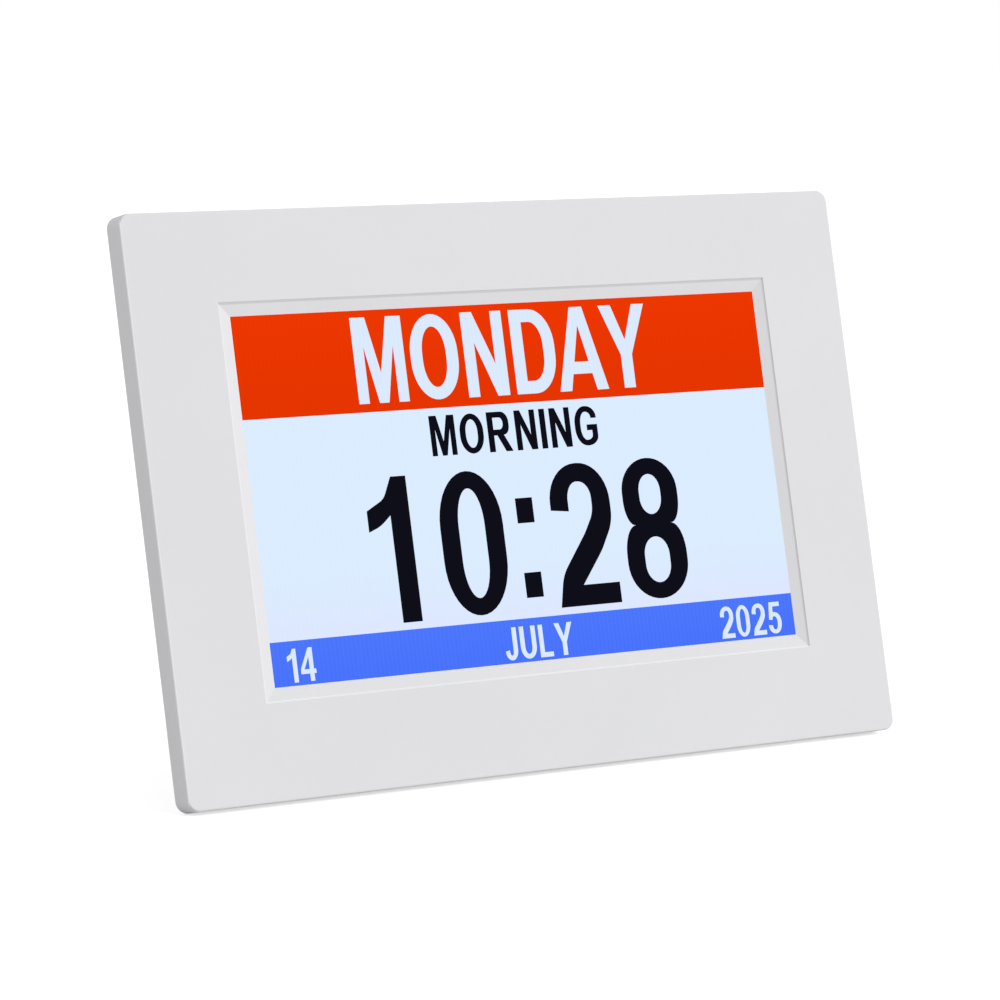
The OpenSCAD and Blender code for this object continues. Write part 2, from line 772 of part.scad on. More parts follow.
module key_board() {
  color(board_green) lean_back() difference() {
    plate(key_board_y, key_board_back) translate([0, key_z]) round_rect(key_board_w, key_board_h, 1);
    for (x = [-1, 1]) post(x * key_post, key_z, key_board_y - cut, key_board_back + cut, 1.2);
  }
}

module key_board_screws() {
  color(steel) lean_back() for (x = [-1, 1]) board_screw(x * key_post, key_z, key_board_y);
}

module switch_housings() {
  color(chip_black) lean_back() for (i = [0:5]) difference() {
    plate(key_board_back, switch_top) panel_rect(switch_w, switch_w, key_z, key_x(i));
    post(key_x(i), key_z, plunger_foot - 0.5, switch_top + cut, plunger_r + plunger_slack);
  }
}

module key_leads() {
  socket = lead_socket_at[2];
  color("red") lean_back() for (k = [-1.4, 0, 1.4])
    lead([[39.6 + k * 0.9, key_board_back + 0.5, key_z - 4], [socket.x + k, key_board_back + 0.5, 100],
          [socket.x + k, lead_y, 92], [socket.x + k, lead_y, socket.y + 3]], 0.5);
}

// One key cap: a rim that stays behind the housing's wall, and the cap that shows.
module key_cap(i) {
  color(white_abs) lean_back() translate([key_x(i), 0, 0]) {
    plate(cap_under, cap_under + cap_rim_t) translate([0, key_z]) round_rect(key_w + 2, key_h + 2, 1);
    soft_slab(key_w, key_h, 1, key_z, cap_under, back_d + key_proud, 0, 0.5);
  }
}

// The moving plunger of a key's switch.
module plunger(i) {
  color(soft_black) lean_back() post(key_x(i), key_z, plunger_foot, cap_under, plunger_r);
}

// ---- Stand ----

// The leg's outline below the hinge, drawn smaller by inset for its inside.
module leg_outline(inset) {
  top = -barrel_r - inset;
  end = 1 - leg_len + inset;
  straight = -12;
  polygon([[-leg_w / 2 + inset, top], [-leg_w / 2 + inset, straight], [-foot_w / 2 + inset, end],
           [foot_w / 2 - inset, end], [leg_w / 2 - inset, straight], [leg_w / 2 - inset, top]]);
}

// The leg as it lies folded, with its hinge at the origin: a skin with a rim and ribs inside.
module folded_leg() {
  half = barrel_r - 0.2;
  skin = 1.4;
  rim = 2.4;
  difference() {
    plate(-half, half) union() {
      leg_outline(0);
      translate([-leg_w / 2, -barrel_r - 0.1]) square([leg_w, barrel_r]);
    }
    difference() {
      plate(-half - cut, half - skin) leg_outline(rim);
      for (x = [-14, 0, 14]) plate(-half, half) panel_rect(1.6, leg_len, -leg_len / 2, x);
      for (z = [-30, -60]) plate(-half, half) panel_rect(leg_w, 1.6, z);
    }
    // groove for the rubber foot
    translate([-foot_w / 2 - cut, 0, -leg_len]) rotate([0, 90, 0]) cylinder(h = foot_w + 2 * cut, r = foot_r + 0.05);
    // hollow for a fingertip
    translate([0, half + 7.4, 12 - leg_len]) rotate([0, 90, 0]) cylinder(h = 18, r = 8, center = true);
  }
}

module stand_leg() {
  heel = 5;
  color(white_abs) lean_back() difference() {
    translate([0, pin_y, pin_up]) {
      rotate([leg_open, 0, 0]) folded_leg();
      rotate([0, 90, 0]) cylinder(h = leg_w + 0.2, r = barrel_r, center = true);
      // heel that stops on the recess's floor when the leg is open
      translate([1 - leg_w / 2, 0.1 - barrel_r, -0.5]) cube([leg_w - 2, barrel_r, heel + 0.5]);
    }
    rod([-leg_w, pin_y, pin_up], [leg_w, pin_y, pin_up], pin_r + 0.05);
  }
}

module hinge_pin() {
  end = recess_w / 2 + ear_t - 0.2;
  color(steel) lean_back() rod([-end, pin_y, pin_up], [end, pin_y, pin_up], pin_r);
}

module hinge_washers() {
  middle_x = leg_w / 4 + recess_w / 4;
  color(steel) lean_back() for (x = [-1, 1]) translate([x * middle_x, pin_y, pin_up]) rotate([0, 90, 0])
    difference() {
      cylinder(h = washer_t, r = 2.1, center = true);
      cylinder(h = 2 * washer_t, r = pin_r + 0.03, center = true);
    }
}

module leg_foot() {
  color(soft_black) lean_back() translate([0, pin_y, pin_up]) rotate([leg_open, 0, 0])
    translate([-foot_w / 2 + 1, 0, -leg_len]) rotate([0, 90, 0]) cylinder(h = foot_w - 2, r = foot_r);
}

front_frame();
rear_cover();
case_screws();
lcd_bezel();
front_polariser();
filter_glass();
tft_glass();
rear_polariser();
prism_sheet();
diffuser_sheet();
light_guide();
reflector_sheet();
backlight_frame();
led_strip();
backlight_leds();
backlight_leads();
lcd_rear_plate();
lcd_ribbon();
panel_pads();
main_board();
board_screws();
processor_chip();
memory_chip();
clock_crystal();
power_coil();
board_capacitors();
ribbon_socket();
lead_sockets();
cell_holder();
coin_cell();
dc_jack();
speaker_basket();
speaker_cone();
speaker_magnet();
speaker_gasket();
speaker_leads();
key_board();
key_board_screws();
switch_housings();
key_leads();
for (i = [0:len(key_names) - 1]) {
  key_cap(i);
  plunger(i);
}
stand_leg();
hinge_pin();
hinge_washers();
leg_foot();
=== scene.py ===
"""Looks of a day clock with a 7 inch display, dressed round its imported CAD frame.

The clock's upright panel is drawn in millimetres: x to the right, y from the front face to the
back, z up from the frame's lower edge. Panel.settle() tips each finished piece back as the
clock stands, and leaves its place in its mesh.
"""

import json
import logging
import math
from dataclasses import dataclass, field
from enum import Enum

import bmesh
import bpy
from mathutils import Matrix, Vector


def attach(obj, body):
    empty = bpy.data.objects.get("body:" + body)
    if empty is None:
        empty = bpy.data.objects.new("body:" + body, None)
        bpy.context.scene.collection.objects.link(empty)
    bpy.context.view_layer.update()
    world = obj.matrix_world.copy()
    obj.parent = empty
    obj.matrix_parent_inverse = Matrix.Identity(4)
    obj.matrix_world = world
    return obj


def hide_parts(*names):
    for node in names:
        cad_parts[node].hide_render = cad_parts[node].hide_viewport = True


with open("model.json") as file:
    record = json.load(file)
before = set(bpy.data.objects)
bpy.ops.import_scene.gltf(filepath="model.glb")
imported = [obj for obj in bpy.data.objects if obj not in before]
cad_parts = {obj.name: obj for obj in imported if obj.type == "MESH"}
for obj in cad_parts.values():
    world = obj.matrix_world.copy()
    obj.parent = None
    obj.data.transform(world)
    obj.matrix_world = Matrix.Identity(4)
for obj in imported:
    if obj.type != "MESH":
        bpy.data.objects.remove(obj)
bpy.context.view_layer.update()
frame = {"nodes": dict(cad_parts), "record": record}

MM = 0.001
CREASE = math.radians(50)  # a bevel eases the edges that turn by more than this
KEYS = ("menu", "left", "right", "up", "down", "ok")
log = logging.getLogger("day_clock")

Pair = tuple[float, float]
Triple = tuple[float, float, float]
Outline = list[tuple[float, ...]]
Colour = tuple[float, float, float, float]
Stops = list[tuple[float, Colour]]
Object = bpy.types.Object
Material = bpy.types.Material
NodeTree = bpy.types.NodeTree
Node = bpy.types.Node
Socket = bpy.types.NodeSocket


# ---- Small tools ----


def linear(hex_colour: str) -> Colour:
    """Turns an sRGB hex colour into linear light.

    Args:
        hex_colour: Six hex digits, such as "e6e6e8".

    Returns:
        Red, green, blue and an alpha of 1.
    """
    shares = [int(hex_colour[i:i + 2], 16) / 255 for i in (0, 2, 4)]
    light = [s / 12.92 if s <= 0.04045 else ((s + 0.055) / 1.055) ** 2.4 for s in shares]
    return (light[0], light[1], light[2], 1.0)


def deselect() -> None:
    """Leaves nothing selected, so that an operator acts only on what is picked next."""
    if bpy.context.object is not None and bpy.context.object.mode != "OBJECT":
        bpy.ops.object.mode_set(mode="OBJECT")
    bpy.ops.object.select_all(action="DESELECT")


def pick(*objects: Object) -> Object:
    """Selects these objects alone, with the first one active.

    Args:
        objects: The objects to select.

    Returns:
        The active object.
    """
    deselect()
    for obj in objects:
        obj.select_set(True)
    bpy.context.view_layer.objects.active = objects[0]
    return objects[0]


def apply_modifier(obj: Object, kind: str, **settings: object) -> None:
    """Adds one modifier and applies it.

    Args:
        obj: The mesh to change.
        kind: Blender's name of the modifier's type.
        settings: The modifier's own settings.
    """
    pick(obj)
    modifier = obj.modifiers.new(kind.title(), kind)
    for name, value in settings.items():
        setattr(modifier, name, value)
    bpy.ops.object.modifier_apply(modifier=modifier.name)


def join(name: str, parts: list[Object]) -> Object:
    """Joins several meshes into one named piece.

    Args:
        name: The piece's name.
        parts: The meshes, all in their places.

    Returns:
        The joined object.
    """
    joined = pick(*parts)
    if len(parts) > 1:
        bpy.ops.object.join()
    joined.name = name
    joined.data.name = name
    return joined


def face_outwards(obj: Object, merge: float = 1e-7) -> None:
    """Merges doubled points and points every face outwards.

    Args:
        obj: The mesh.
        merge: Points closer than this, in metres, become one.
    """
    pick(obj)
    bpy.ops.object.mode_set(mode="EDIT")
    bpy.ops.mesh.select_all(action="SELECT")
    bpy.ops.mesh.remove_doubles(threshold=merge)
    bpy.ops.mesh.normals_make_consistent(inside=False)
    bpy.ops.object.mode_set(mode="OBJECT")


def select_faces(obj: Object, towards: Vector, least: float = 0.99) -> None:
    """Enters edit mode with only the faces that look along a direction selected.

    Args:
        obj: The mesh.
        towards: The direction, of length 1.
        least: The smallest dot product that counts as along it.
    """
    pick(obj)
    bpy.ops.object.mode_set(mode="EDIT")
    bpy.ops.mesh.select_mode(type="FACE")
    bpy.ops.mesh.select_all(action="DESELECT")
    mesh = bmesh.from_edit_mesh(obj.data)
    for face in mesh.faces:
        face.select_set(face.normal.dot(towards) > least)
    bmesh.update_edit_mesh(obj.data)


def cube(x: Pair, y: Pair, z: Pair) -> Object:
    """Adds a block between pairs of coordinates, in panel millimetres.

    Args:
        x: Left and right.
        y: Front and back.
        z: Bottom and top.

    Returns:
        The new block, with its size in its mesh.
    """
    deselect()
    spans = (x, y, z)
    bpy.ops.mesh.primitive_cube_add(
        size=1,
        location=[(low + high) / 2 * MM for low, high in spans],
        scale=[(high - low) * MM for low, high in spans],
    )
    bpy.ops.object.transform_apply(location=True, rotation=True, scale=True)
    return bpy.context.object


def drum(at: Triple, radius: float, depth: float, sides: int, axis: str = "Y") -> Object:
    """Adds a round drum centred on a point, in panel millimetres.

    Args:
        at: The drum's centre.
        radius: Its radius.
        depth: Its length along its axis.
        sides: How many sides stand for the circle.
        axis: "X" or "Y", the way its axis points.

    Returns:
        The new drum, with its size in its mesh.
    """
    deselect()
    turn = (math.pi / 2, 0, 0) if axis == "Y" else (0, math.pi / 2, 0)
    bpy.ops.mesh.primitive_cylinder_add(
        vertices=sides, radius=radius * MM, depth=depth * MM,
        location=[c * MM for c in at], rotation=turn,
    )
    bpy.ops.object.transform_apply(location=True, rotation=True, scale=True)
    return bpy.context.object


@dataclass(frozen=True)
class Panel:
    """The clock's upright panel, and how it stands: tipped back, on its lower rear edge.

    Attributes:
        lean: Angle of the lean, in radians.
        middle: Middle of the clock along the table's depth, in millimetres.
        lowest: Height of its lowest edge before it is set on the table, in millimetres.
        picture: Height of the picture's centre above the frame's lower edge, in millimetres.
    """

    lean: float = math.radians(12.1)
    middle: float = 32.0362
    lowest: float = -1.12209
    picture: float = 69.0

    def matrix(self) -> Matrix:
        """Returns the matrix from the upright panel to the row frame."""
        stand = Matrix.Translation((0, -self.middle * MM, -self.lowest * MM))
        return stand @ Matrix.Rotation(-self.lean, 4, "X")

    def point(self, x: float, y: float, z: float) -> Vector:
        """Returns a point of the panel, given in millimetres, in the row frame."""
        return self.matrix() @ (Vector((x, y, z)) * MM)

    def settle(self, obj: Object, body: str, finish: Material) -> Object:
        """Tips a finished piece back, hangs it on its body and dresses it.

        Args:
            obj: The piece, drawn on the upright panel.
            body: The CAD body that it rides on.
            finish: Its material.

        Returns:
            The piece.
        """
        obj.matrix_world = self.matrix() @ obj.matrix_world
        pick(obj)
        bpy.ops.object.transform_apply(location=True, rotation=True, scale=True)
        obj.data.materials.clear()
        obj.data.materials.append(finish)
        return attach(obj, body)


PANEL = Panel()


# ---- Materials ----


def feed(node: Node, *values: object, **inputs: object) -> None:
    """Gives a node's sockets their values and links.

    A value is a plain value, an output socket to link from, or a node, which stands for its first
    output.

    Args:
        node: The node.
        values: Values for its first sockets, in order.
        inputs: Values for sockets by name, with _ for a space.
    """
    wanted = list(zip(node.inputs, values))
    for name, value in inputs.items():
        title = name.replace("_", " ")
        socket = next(s for s in node.inputs if s.name == title and s.enabled)
        wanted.append((socket, value))
    for socket, value in wanted:
        if isinstance(value, Node):
            value = value.outputs[0]
        if isinstance(value, Socket):
            node.id_data.links.new(value, socket)
        else:
            socket.default_value = value


def add_node(
    tree: NodeTree, kind: str, settings: dict | None = None, *values: object, **inputs: object
) -> Node:
    """Adds a shader node with its settings, values and links.

    Args:
        tree: The material's or world's node tree.
        kind: Blender's type name of the node, without "ShaderNode".
        settings: The node's own properties; stops gives a colour ramp its places and colours.
        values: Values for its first sockets, in order, as for feed.
        inputs: Values for sockets by name, as for feed.

    Returns:
        The new node.
    """
    node = tree.nodes.new("ShaderNode" + kind)
    for name, value in (settings or {}).items():
        if name == "stops":
            for element, (place, colour) in zip(node.color_ramp.elements, value):
                element.position = place
                element.color = colour
        else:
            setattr(node, name, value)
    feed(node, *values, **inputs)
    return node


def shade(colour: Colour, factor: float) -> Colour:
    """Returns a linear colour made lighter or darker by a factor."""
    return (colour[0] * factor, colour[1] * factor, colour[2] * factor, 1.0)


def per_mm(size: float) -> float:
    """Returns the scale of a texture whose features are this many millimetres across."""
    return 1 / (size * MM)


def wave_scale(pitch: float) -> float:
    """Returns the scale of a wave texture whose bands are this many millimetres apart."""
    return math.pi / (10 * pitch * MM)


@dataclass(frozen=True)
class Finish:
    """What every finish shares: a name, a colour and how it takes the light.

    Attributes:
        name: The material's name, for the real stuff and how it was made.
        colour: sRGB hex colour.
        roughness: From 0, a mirror, to 1, chalk.
    """

    name: str
    colour: str
    roughness: float = 0.5

    def start(self) -> tuple[Material, NodeTree, Node, Node]:
        """Makes the material with its shader, and the place that its patterns read.

        Returns:
            The material, its tree, its Principled shader, and its Object coordinates turned and
            moved to be the upright panel's own.
        """
        material = bpy.data.materials.new(self.name)
        material.use_nodes = True
        tree = material.node_tree
        tree.nodes.clear()
        shader = add_node(tree, "BsdfPrincipled", Base_Color=linear(self.colour), Roughness=self.roughness)
        add_node(tree, "OutputMaterial", Surface=shader)
        here = add_node(tree, "TexCoord").outputs["Object"]
        back = PANEL.matrix().inverted()
        place = add_node(tree, "Mapping", Vector=here, Location=back.translation, Rotation=back.to_euler())
        return material, tree, shader, place

    def stops(self, dark: float, light: float, low: float = 0.3, high: float = 0.7) -> Stops:
        """Returns a ramp's stops from a darker to a lighter shade of the colour.

        Args:
            dark: Factor of the darker shade.
            light: Factor of the lighter shade.
            low: Place of the darker shade.
            high: Place of the lighter shade.

        Returns:
            The two places with their linear colours.
        """
        base = linear(self.colour)
        return [(low, shade(base, dark)), (high, shade(base, light))]

    def uneven_sheen(self, tree: NodeTree, place: Node, patch: float, spread: float) -> Node:
        """Adds a roughness that wanders round the finish's own.

        Args:
            tree: The material's tree.
            place: The panel's coordinates.
            patch: Size of a smoother or duller patch, in millimetres.
            spread: How far the roughness wanders to either side.

        Returns:
            The node that holds it.
        """
        patches = add_node(tree, "TexNoise", Vector=place, Scale=per_mm(patch), Detail=2)
        return add_node(tree, "MapRange", Value=patches, To_Min=self.roughness - spread,
                        To_Max=self.roughness + spread)


@dataclass(frozen=True)
class MouldedPlastic(Finish):
    """ABS, nylon or acetal from a steel mould whose wall was spark-eroded.

    The eye gets an even colour with a barely uneven cast, a broad soft sheen, and a grain of
    small pits that breaks highlights up at close range.

    Attributes:
        grain: Distance from pit to pit, in millimetres.
        pit: Depth of the pits, in millimetres.
        cast: How far the colour drifts over a few centimetres.
        drift: Distance over which it drifts, in millimetres.
        patch: Size of a smoother or duller patch, in millimetres.
        spread: How far the roughness wanders from patch to patch.
        ior: Index of refraction.
    """

    grain: float = 0.35
    pit: float = 0.012
    cast: float = 0.02
    drift: float = 38.0
    patch: float = 4.0
    spread: float = 0.05
    ior: float = 1.54

    def tint(self, tree: NodeTree, place: Node) -> Node:
        """Adds the plastic's drifting colour.

        Args:
            tree: The material's tree.
            place: The panel's coordinates.

        Returns:
            The node that holds it.
        """
        drift = add_node(tree, "TexNoise", Vector=place, Scale=per_mm(self.drift), Detail=1)
        return add_node(tree, "ValToRGB", {"stops": self.stops(1 - self.cast, 1 + self.cast)}, Fac=drift)

    def build(self) -> Material:
        """Makes the material.

        Returns:
            The material.
        """
        material, tree, shader, place = self.start()
        pits = add_node(tree, "TexNoise", Vector=place, Scale=per_mm(self.grain), Detail=3)
        relief = add_node(tree, "Bump", Height=pits, Distance=self.pit * MM)
        sheen = self.uneven_sheen(tree, place, self.patch, self.spread)
        feed(shader, Base_Color=self.tint(tree, place), Roughness=sheen, Normal=relief, IOR=self.ior)
        return material


@dataclass(frozen=True)
class FramePlastic(MouldedPlastic):
    """The same plastic on the front frame, with light and shade painted along its creases and rims.

    The eye gets a fine painted highlight along the window's lower crease, which faces up, a fine
    painted shade along the upper one, and painted highlights along the side rims of the face.

    Attributes:
        half_width: Half of the width of the window's slope at the frame's face, in millimetres.
        lower: Height of the middle of the painted highlight line, in panel millimetres.
        upper: Height of the middle of the painted shade line.
        pale: How much lighter the painted highlight makes the lower crease.
        dull: How much darker the painted shade makes the upper crease.
        pale_width: Width of the painted highlight line.
        dull_width: Width of the painted shade line.
        soft: Width of a line's soft edge.
        rim: Distance of the rims that carry the painted highlight from the panel's middle.
        rim_width: Width of a rim's painted highlight.
        rim_highlight: How much lighter the painted highlight makes the rims.
    """

    half_width: float = 80.3
    lower: float = 22.82
    upper: float = 114.92
    pale: float = 0.12
    dull: float = 0.15
    pale_width: float = 0.3
    dull_width: float = 0.4
    soft: float = 0.1
    rim: float = 104.0
    rim_width: float = 0.3
    rim_highlight: float = 0.2

    def mask(self, tree: NodeTree, coordinate: Socket | Node, middle: float, reach: float) -> Node:
        """Adds a mask of 1 near a coordinate, which falls to 0 over a soft edge.

        Args:
            tree: The material's tree.
            coordinate: One of the panel's coordinates.
            middle: Its value at the mask's middle, in millimetres.
            reach: Half of the mask's width, in millimetres.

        Returns:
            The node that holds the mask.
        """
        off = add_node(tree, "Math", {"operation": "SUBTRACT"}, coordinate, middle * MM)
        away = add_node(tree, "Math", {"operation": "ABSOLUTE"}, off)
        return add_node(tree, "MapRange", Value=away, From_Min=reach * MM,
                        From_Max=(reach + self.soft) * MM, To_Min=1.0, To_Max=0.0)

    def tint(self, tree: NodeTree, place: Node) -> Node:
        """Adds the plastic's colour with the painted highlights and painted shade on its creases and rims.

        Args:
            tree: The material's tree.
            place: The panel's coordinates.

        Returns:
            The node that holds it.
        """
        panel = add_node(tree, "SeparateXYZ", Vector=place).outputs
        aside = add_node(tree, "Math", {"operation": "ABSOLUTE"}, panel["X"])
        window = self.mask(tree, panel["X"], 0.0, self.half_width)
        # painted light: a highlight on the side rims, a highlight along the window's lower crease, and
        # shade along its upper crease
        painted_light_lines = (
            (self.mask(tree, aside, self.rim, self.rim_width / 2),
             self.mask(tree, panel["Y"], 0.0, self.rim_width), self.rim_highlight),
            (self.mask(tree, panel["Z"], self.lower, self.pale_width / 2), window, self.pale),
            (self.mask(tree, panel["Z"], self.upper, self.dull_width / 2), window, -self.dull),
        )
        factor: Node | float = 1.0
        for line, limit, change in painted_light_lines:
            inside = add_node(tree, "Math", {"operation": "MINIMUM"}, line, limit)
            factor = add_node(tree, "Math", {"operation": "MULTIPLY_ADD"}, inside, change, factor)
        plain = super().tint(tree, place)
        return add_node(tree, "VectorMath", {"operation": "SCALE"}, Vector=plain, Scale=factor)


@dataclass(frozen=True)
class RolledMetal(Finish):
    """Thin sheet or wire that came off rollers or a die, tinned, plated or bare.

    The eye gets a grey with fine lines along the rolling and highlights drawn out across them.

    Attributes:
        line: Distance from line to line, in millimetres.
        stretch: How many times longer than wide the lines are.
        smudge: How far the roughness wanders from patch to patch.
        patch: Size of a smoother or duller patch, in millimetres.
        groove: Depth of the lines, in millimetres.
        tones: How dark and how light the lines make the colour, as factors.
    """

    line: float = 0.12
    stretch: float = 40.0
    smudge: float = 0.08
    patch: float = 9.0
    groove: float = 0.003
    tones: Pair = (0.9, 1.06)

    def build(self) -> Material:
        """Makes the material.

        Returns:
            The material.
        """
        material, tree, shader, place = self.start()
        along = add_node(tree, "Mapping", Vector=place, Scale=(1 / self.stretch, 1, 1))
        lines = add_node(tree, "TexNoise", Vector=along, Scale=per_mm(self.line), Detail=3)
        colour = add_node(tree, "ValToRGB", {"stops": self.stops(*self.tones)}, Fac=lines)
        relief = add_node(tree, "Bump", Height=lines, Distance=self.groove * MM)
        sheen = self.uneven_sheen(tree, place, self.patch, self.smudge)
        feed(shader, Base_Color=colour, Roughness=sheen, Normal=relief, Metallic=1.0)
        return material


@dataclass(frozen=True)
class LitPicture(Finish):
    """One tone of the lit liquid crystal picture behind an etched anti-glare film.

    The eye gets an even glow with fine upright ribs, a slow drift of tone from the backlight, and
    almost no reflection. A column of points is 0.15 mm wide, too fine to show, so a rib stands for
    eight of them.

    Attributes:
        low_tone: sRGB hex tone that the colour drifts to at the lower end.
        low: Height at which the lower tone is reached, in panel millimetres.
        high: Height at which the main tone is reached, in panel millimetres.
        rib: How much the ribs darken the tone.
        pitch: Distance from rib to rib, in millimetres.
        film: Distance from grain to grain of the film's etching, in millimetres.
        etch: Depth of the etching, in millimetres.
    """

    low_tone: str = "000000"
    low: float = 0.0
    high: float = 136.0
    rib: float = 0.03
    pitch: float = 1.2
    film: float = 0.4
    etch: float = 0.004

    def build(self) -> Material:
        """Makes the material.

        Returns:
            The material.
        """
        material, tree, shader, place = self.start()
        height = add_node(tree, "SeparateXYZ", Vector=place).outputs["Z"]
        share = add_node(tree, "MapRange", Value=height, From_Min=self.low * MM, From_Max=self.high * MM)
        tones = [(0.0, linear(self.low_tone)), (1.0, linear(self.colour))]
        tone = add_node(tree, "ValToRGB", {"stops": tones}, Fac=share)
        ribs = add_node(tree, "TexWave", {"wave_profile": "SIN"}, Vector=place,
                        Scale=wave_scale(self.pitch)).outputs["Fac"]
        faint = add_node(tree, "MapRange", Value=ribs, To_Min=1 - self.rib, To_Max=1.0)
        glow = add_node(tree, "VectorMath", {"operation": "SCALE"}, Vector=tone, Scale=faint)
        grain = add_node(tree, "TexNoise", Vector=place, Scale=per_mm(self.film), Detail=2)
        relief = add_node(tree, "Bump", Height=grain, Distance=self.etch * MM)
        feed(shader, Emission_Color=glow, Emission_Strength=1.0, Base_Color=(0.0, 0.0, 0.0, 1.0),
             Specular_IOR_Level=0.0, Normal=relief)
        return material


@dataclass(frozen=True)
class ClearSheet(Finish):
    """Float glass, acrylic or polyester film that light passes through.

    The eye gets a clear body with a trace of tint, sharp reflections and a few faint ripples.

    Attributes:
        ior: Index of refraction.
        clear: Share of the light that passes.
        ripple: Distance from ripple to ripple, in millimetres.
        swell: Height of a ripple, in millimetres.
        haze: How much duller the sheet is at its dullest.
    """

    ior: float = 1.5
    clear: float = 0.9
    ripple: float = 25.0
    swell: float = 0.02
    haze: float = 0.05

    def build(self) -> Material:
        """Makes the material.

        Returns:
            The material.
        """
        material, tree, shader, place = self.start()
        ripples = add_node(tree, "TexNoise", Vector=place, Scale=per_mm(self.ripple), Detail=1)
        sheen = add_node(tree, "MapRange", Value=ripples, To_Min=self.roughness,
                         To_Max=self.roughness + self.haze)
        relief = add_node(tree, "Bump", Height=ripples, Distance=self.swell * MM)
        feed(shader, Roughness=sheen, Normal=relief, IOR=self.ior, Transmission_Weight=self.clear)
        return material


@dataclass(frozen=True)
class BoardLaminate(Finish):
    """Glass-fibre board under a glossy solder mask.

    The eye gets a wet, even green. With the levels below, the copper tracks stay under the bare
    board's level and don't show.

    Attributes:
        track: sRGB hex colour of the mask over copper.
        spacing: Distance from the middle of one ring of track to the next, in millimetres.
        uneven: How irregular the rings' places are, from 0 to 1.
        fold: Height at which the distance from a ring's middle folds back, as a share of spacing.
        levels: What a folded distance of 0 and of 1 become; 0 is bare board and 1 is track.
        copper: Height of the tracks, in millimetres.
        gloss: Weight of the mask's clear coat.
    """

    track: str = "1d6b3c"
    spacing: float = 5.5
    uneven: float = 0.85
    fold: float = 0.1
    levels: Pair = (-3.0, 3.5)
    copper: float = 0.03
    gloss: float = 0.4

    def build(self) -> Material:
        """Makes the material.

        Returns:
            The material.
        """
        material, tree, shader, place = self.start()
        flat = add_node(tree, "Mapping", Vector=place, Rotation=(math.pi / 2, 0, 0))
        cells = add_node(tree, "TexVoronoi", {"distance": "CHEBYCHEV", "feature": "F1"}, Vector=flat,
                         Scale=per_mm(self.spacing), Randomness=self.uneven)
        rings = add_node(tree, "Math", {"operation": "PINGPONG"}, cells, self.fold)
        sharp = add_node(tree, "MapRange", Value=rings, To_Min=self.levels[0], To_Max=self.levels[1])
        tracks = add_node(tree, "Clamp", Value=sharp)
        tones = [(0.0, linear(self.colour)), (1.0, linear(self.track))]
        colour = add_node(tree, "ValToRGB", {"stops": tones}, Fac=tracks)
        relief = add_node(tree, "Bump", Height=tracks, Distance=self.copper * MM)
        feed(shader, Base_Color=colour, Normal=relief, Coat_Weight=self.gloss)
        return material


@dataclass(frozen=True)
class CellFoam(Finish):
    """Closed-cell foam, silicone rubber, ferrite or pressed paper pulp.

    The eye gets a dull dark skin pitted with small cells, and hardly any highlight.

    Attributes:
        cell: Distance from cell to cell, in millimetres.
        pit: Depth of a cell, in millimetres.
        patch: Size of a smoother or duller patch, in millimetres.
        spread: How far the roughness wanders from patch to patch.
        tones: How dark a cell's middle and how light its rim make the colour, as factors.
    """

    cell: float = 0.5
    pit: float = 0.08
    patch: float = 6.0
    spread: float = 0.08
    tones: Pair = (0.55, 1.15)

    def build(self) -> Material:
        """Makes the material.

        Returns:
            The material.
        """
        material, tree, shader, place = self.start()
        cells = add_node(tree, "TexVoronoi", Vector=place, Scale=per_mm(self.cell))
        colour = add_node(tree, "ValToRGB", {"stops": self.stops(*self.tones, 0.0, 0.6)}, Fac=cells)
        relief = add_node(tree, "Bump", Height=cells, Distance=self.pit * MM)
        sheen = self.uneven_sheen(tree, place, self.patch, self.spread)
        feed(shader, Base_Color=colour, Roughness=sheen, Normal=relief)
        return material


@dataclass(frozen=True)
class WovenScrim(Finish):
    """Open black cloth that keeps dust out of the loudspeaker.

    The eye gets a dark grid of threads behind the grille's holes.

    Attributes:
        thread: Distance from thread to thread, in millimetres.
        rise: Height of a thread, in millimetres.
        tones: How dark a gap and how light a thread make the colour, as factors.
    """

    thread: float = 0.4
    rise: float = 0.1
    tones: Pair = (0.2, 1.0)

    def build(self) -> Material:
        """Makes the material.

        Returns:
            The material.
        """
        material, tree, shader, place = self.start()
        scale = wave_scale(self.thread)
        waves = [
            add_node(tree, "TexWave", {"bands_direction": way}, Vector=place, Scale=scale).outputs["Fac"]
            for way in ("X", "Z")
        ]
        threads = add_node(tree, "Math", {"operation": "MAXIMUM"}, *waves)
        colour = add_node(tree, "ValToRGB", {"stops": self.stops(*self.tones, 0.4, 1.0)}, Fac=threads)
        relief = add_node(tree, "Bump", Height=threads, Distance=self.rise * MM)
        feed(shader, Base_Color=colour, Normal=relief)
        return material


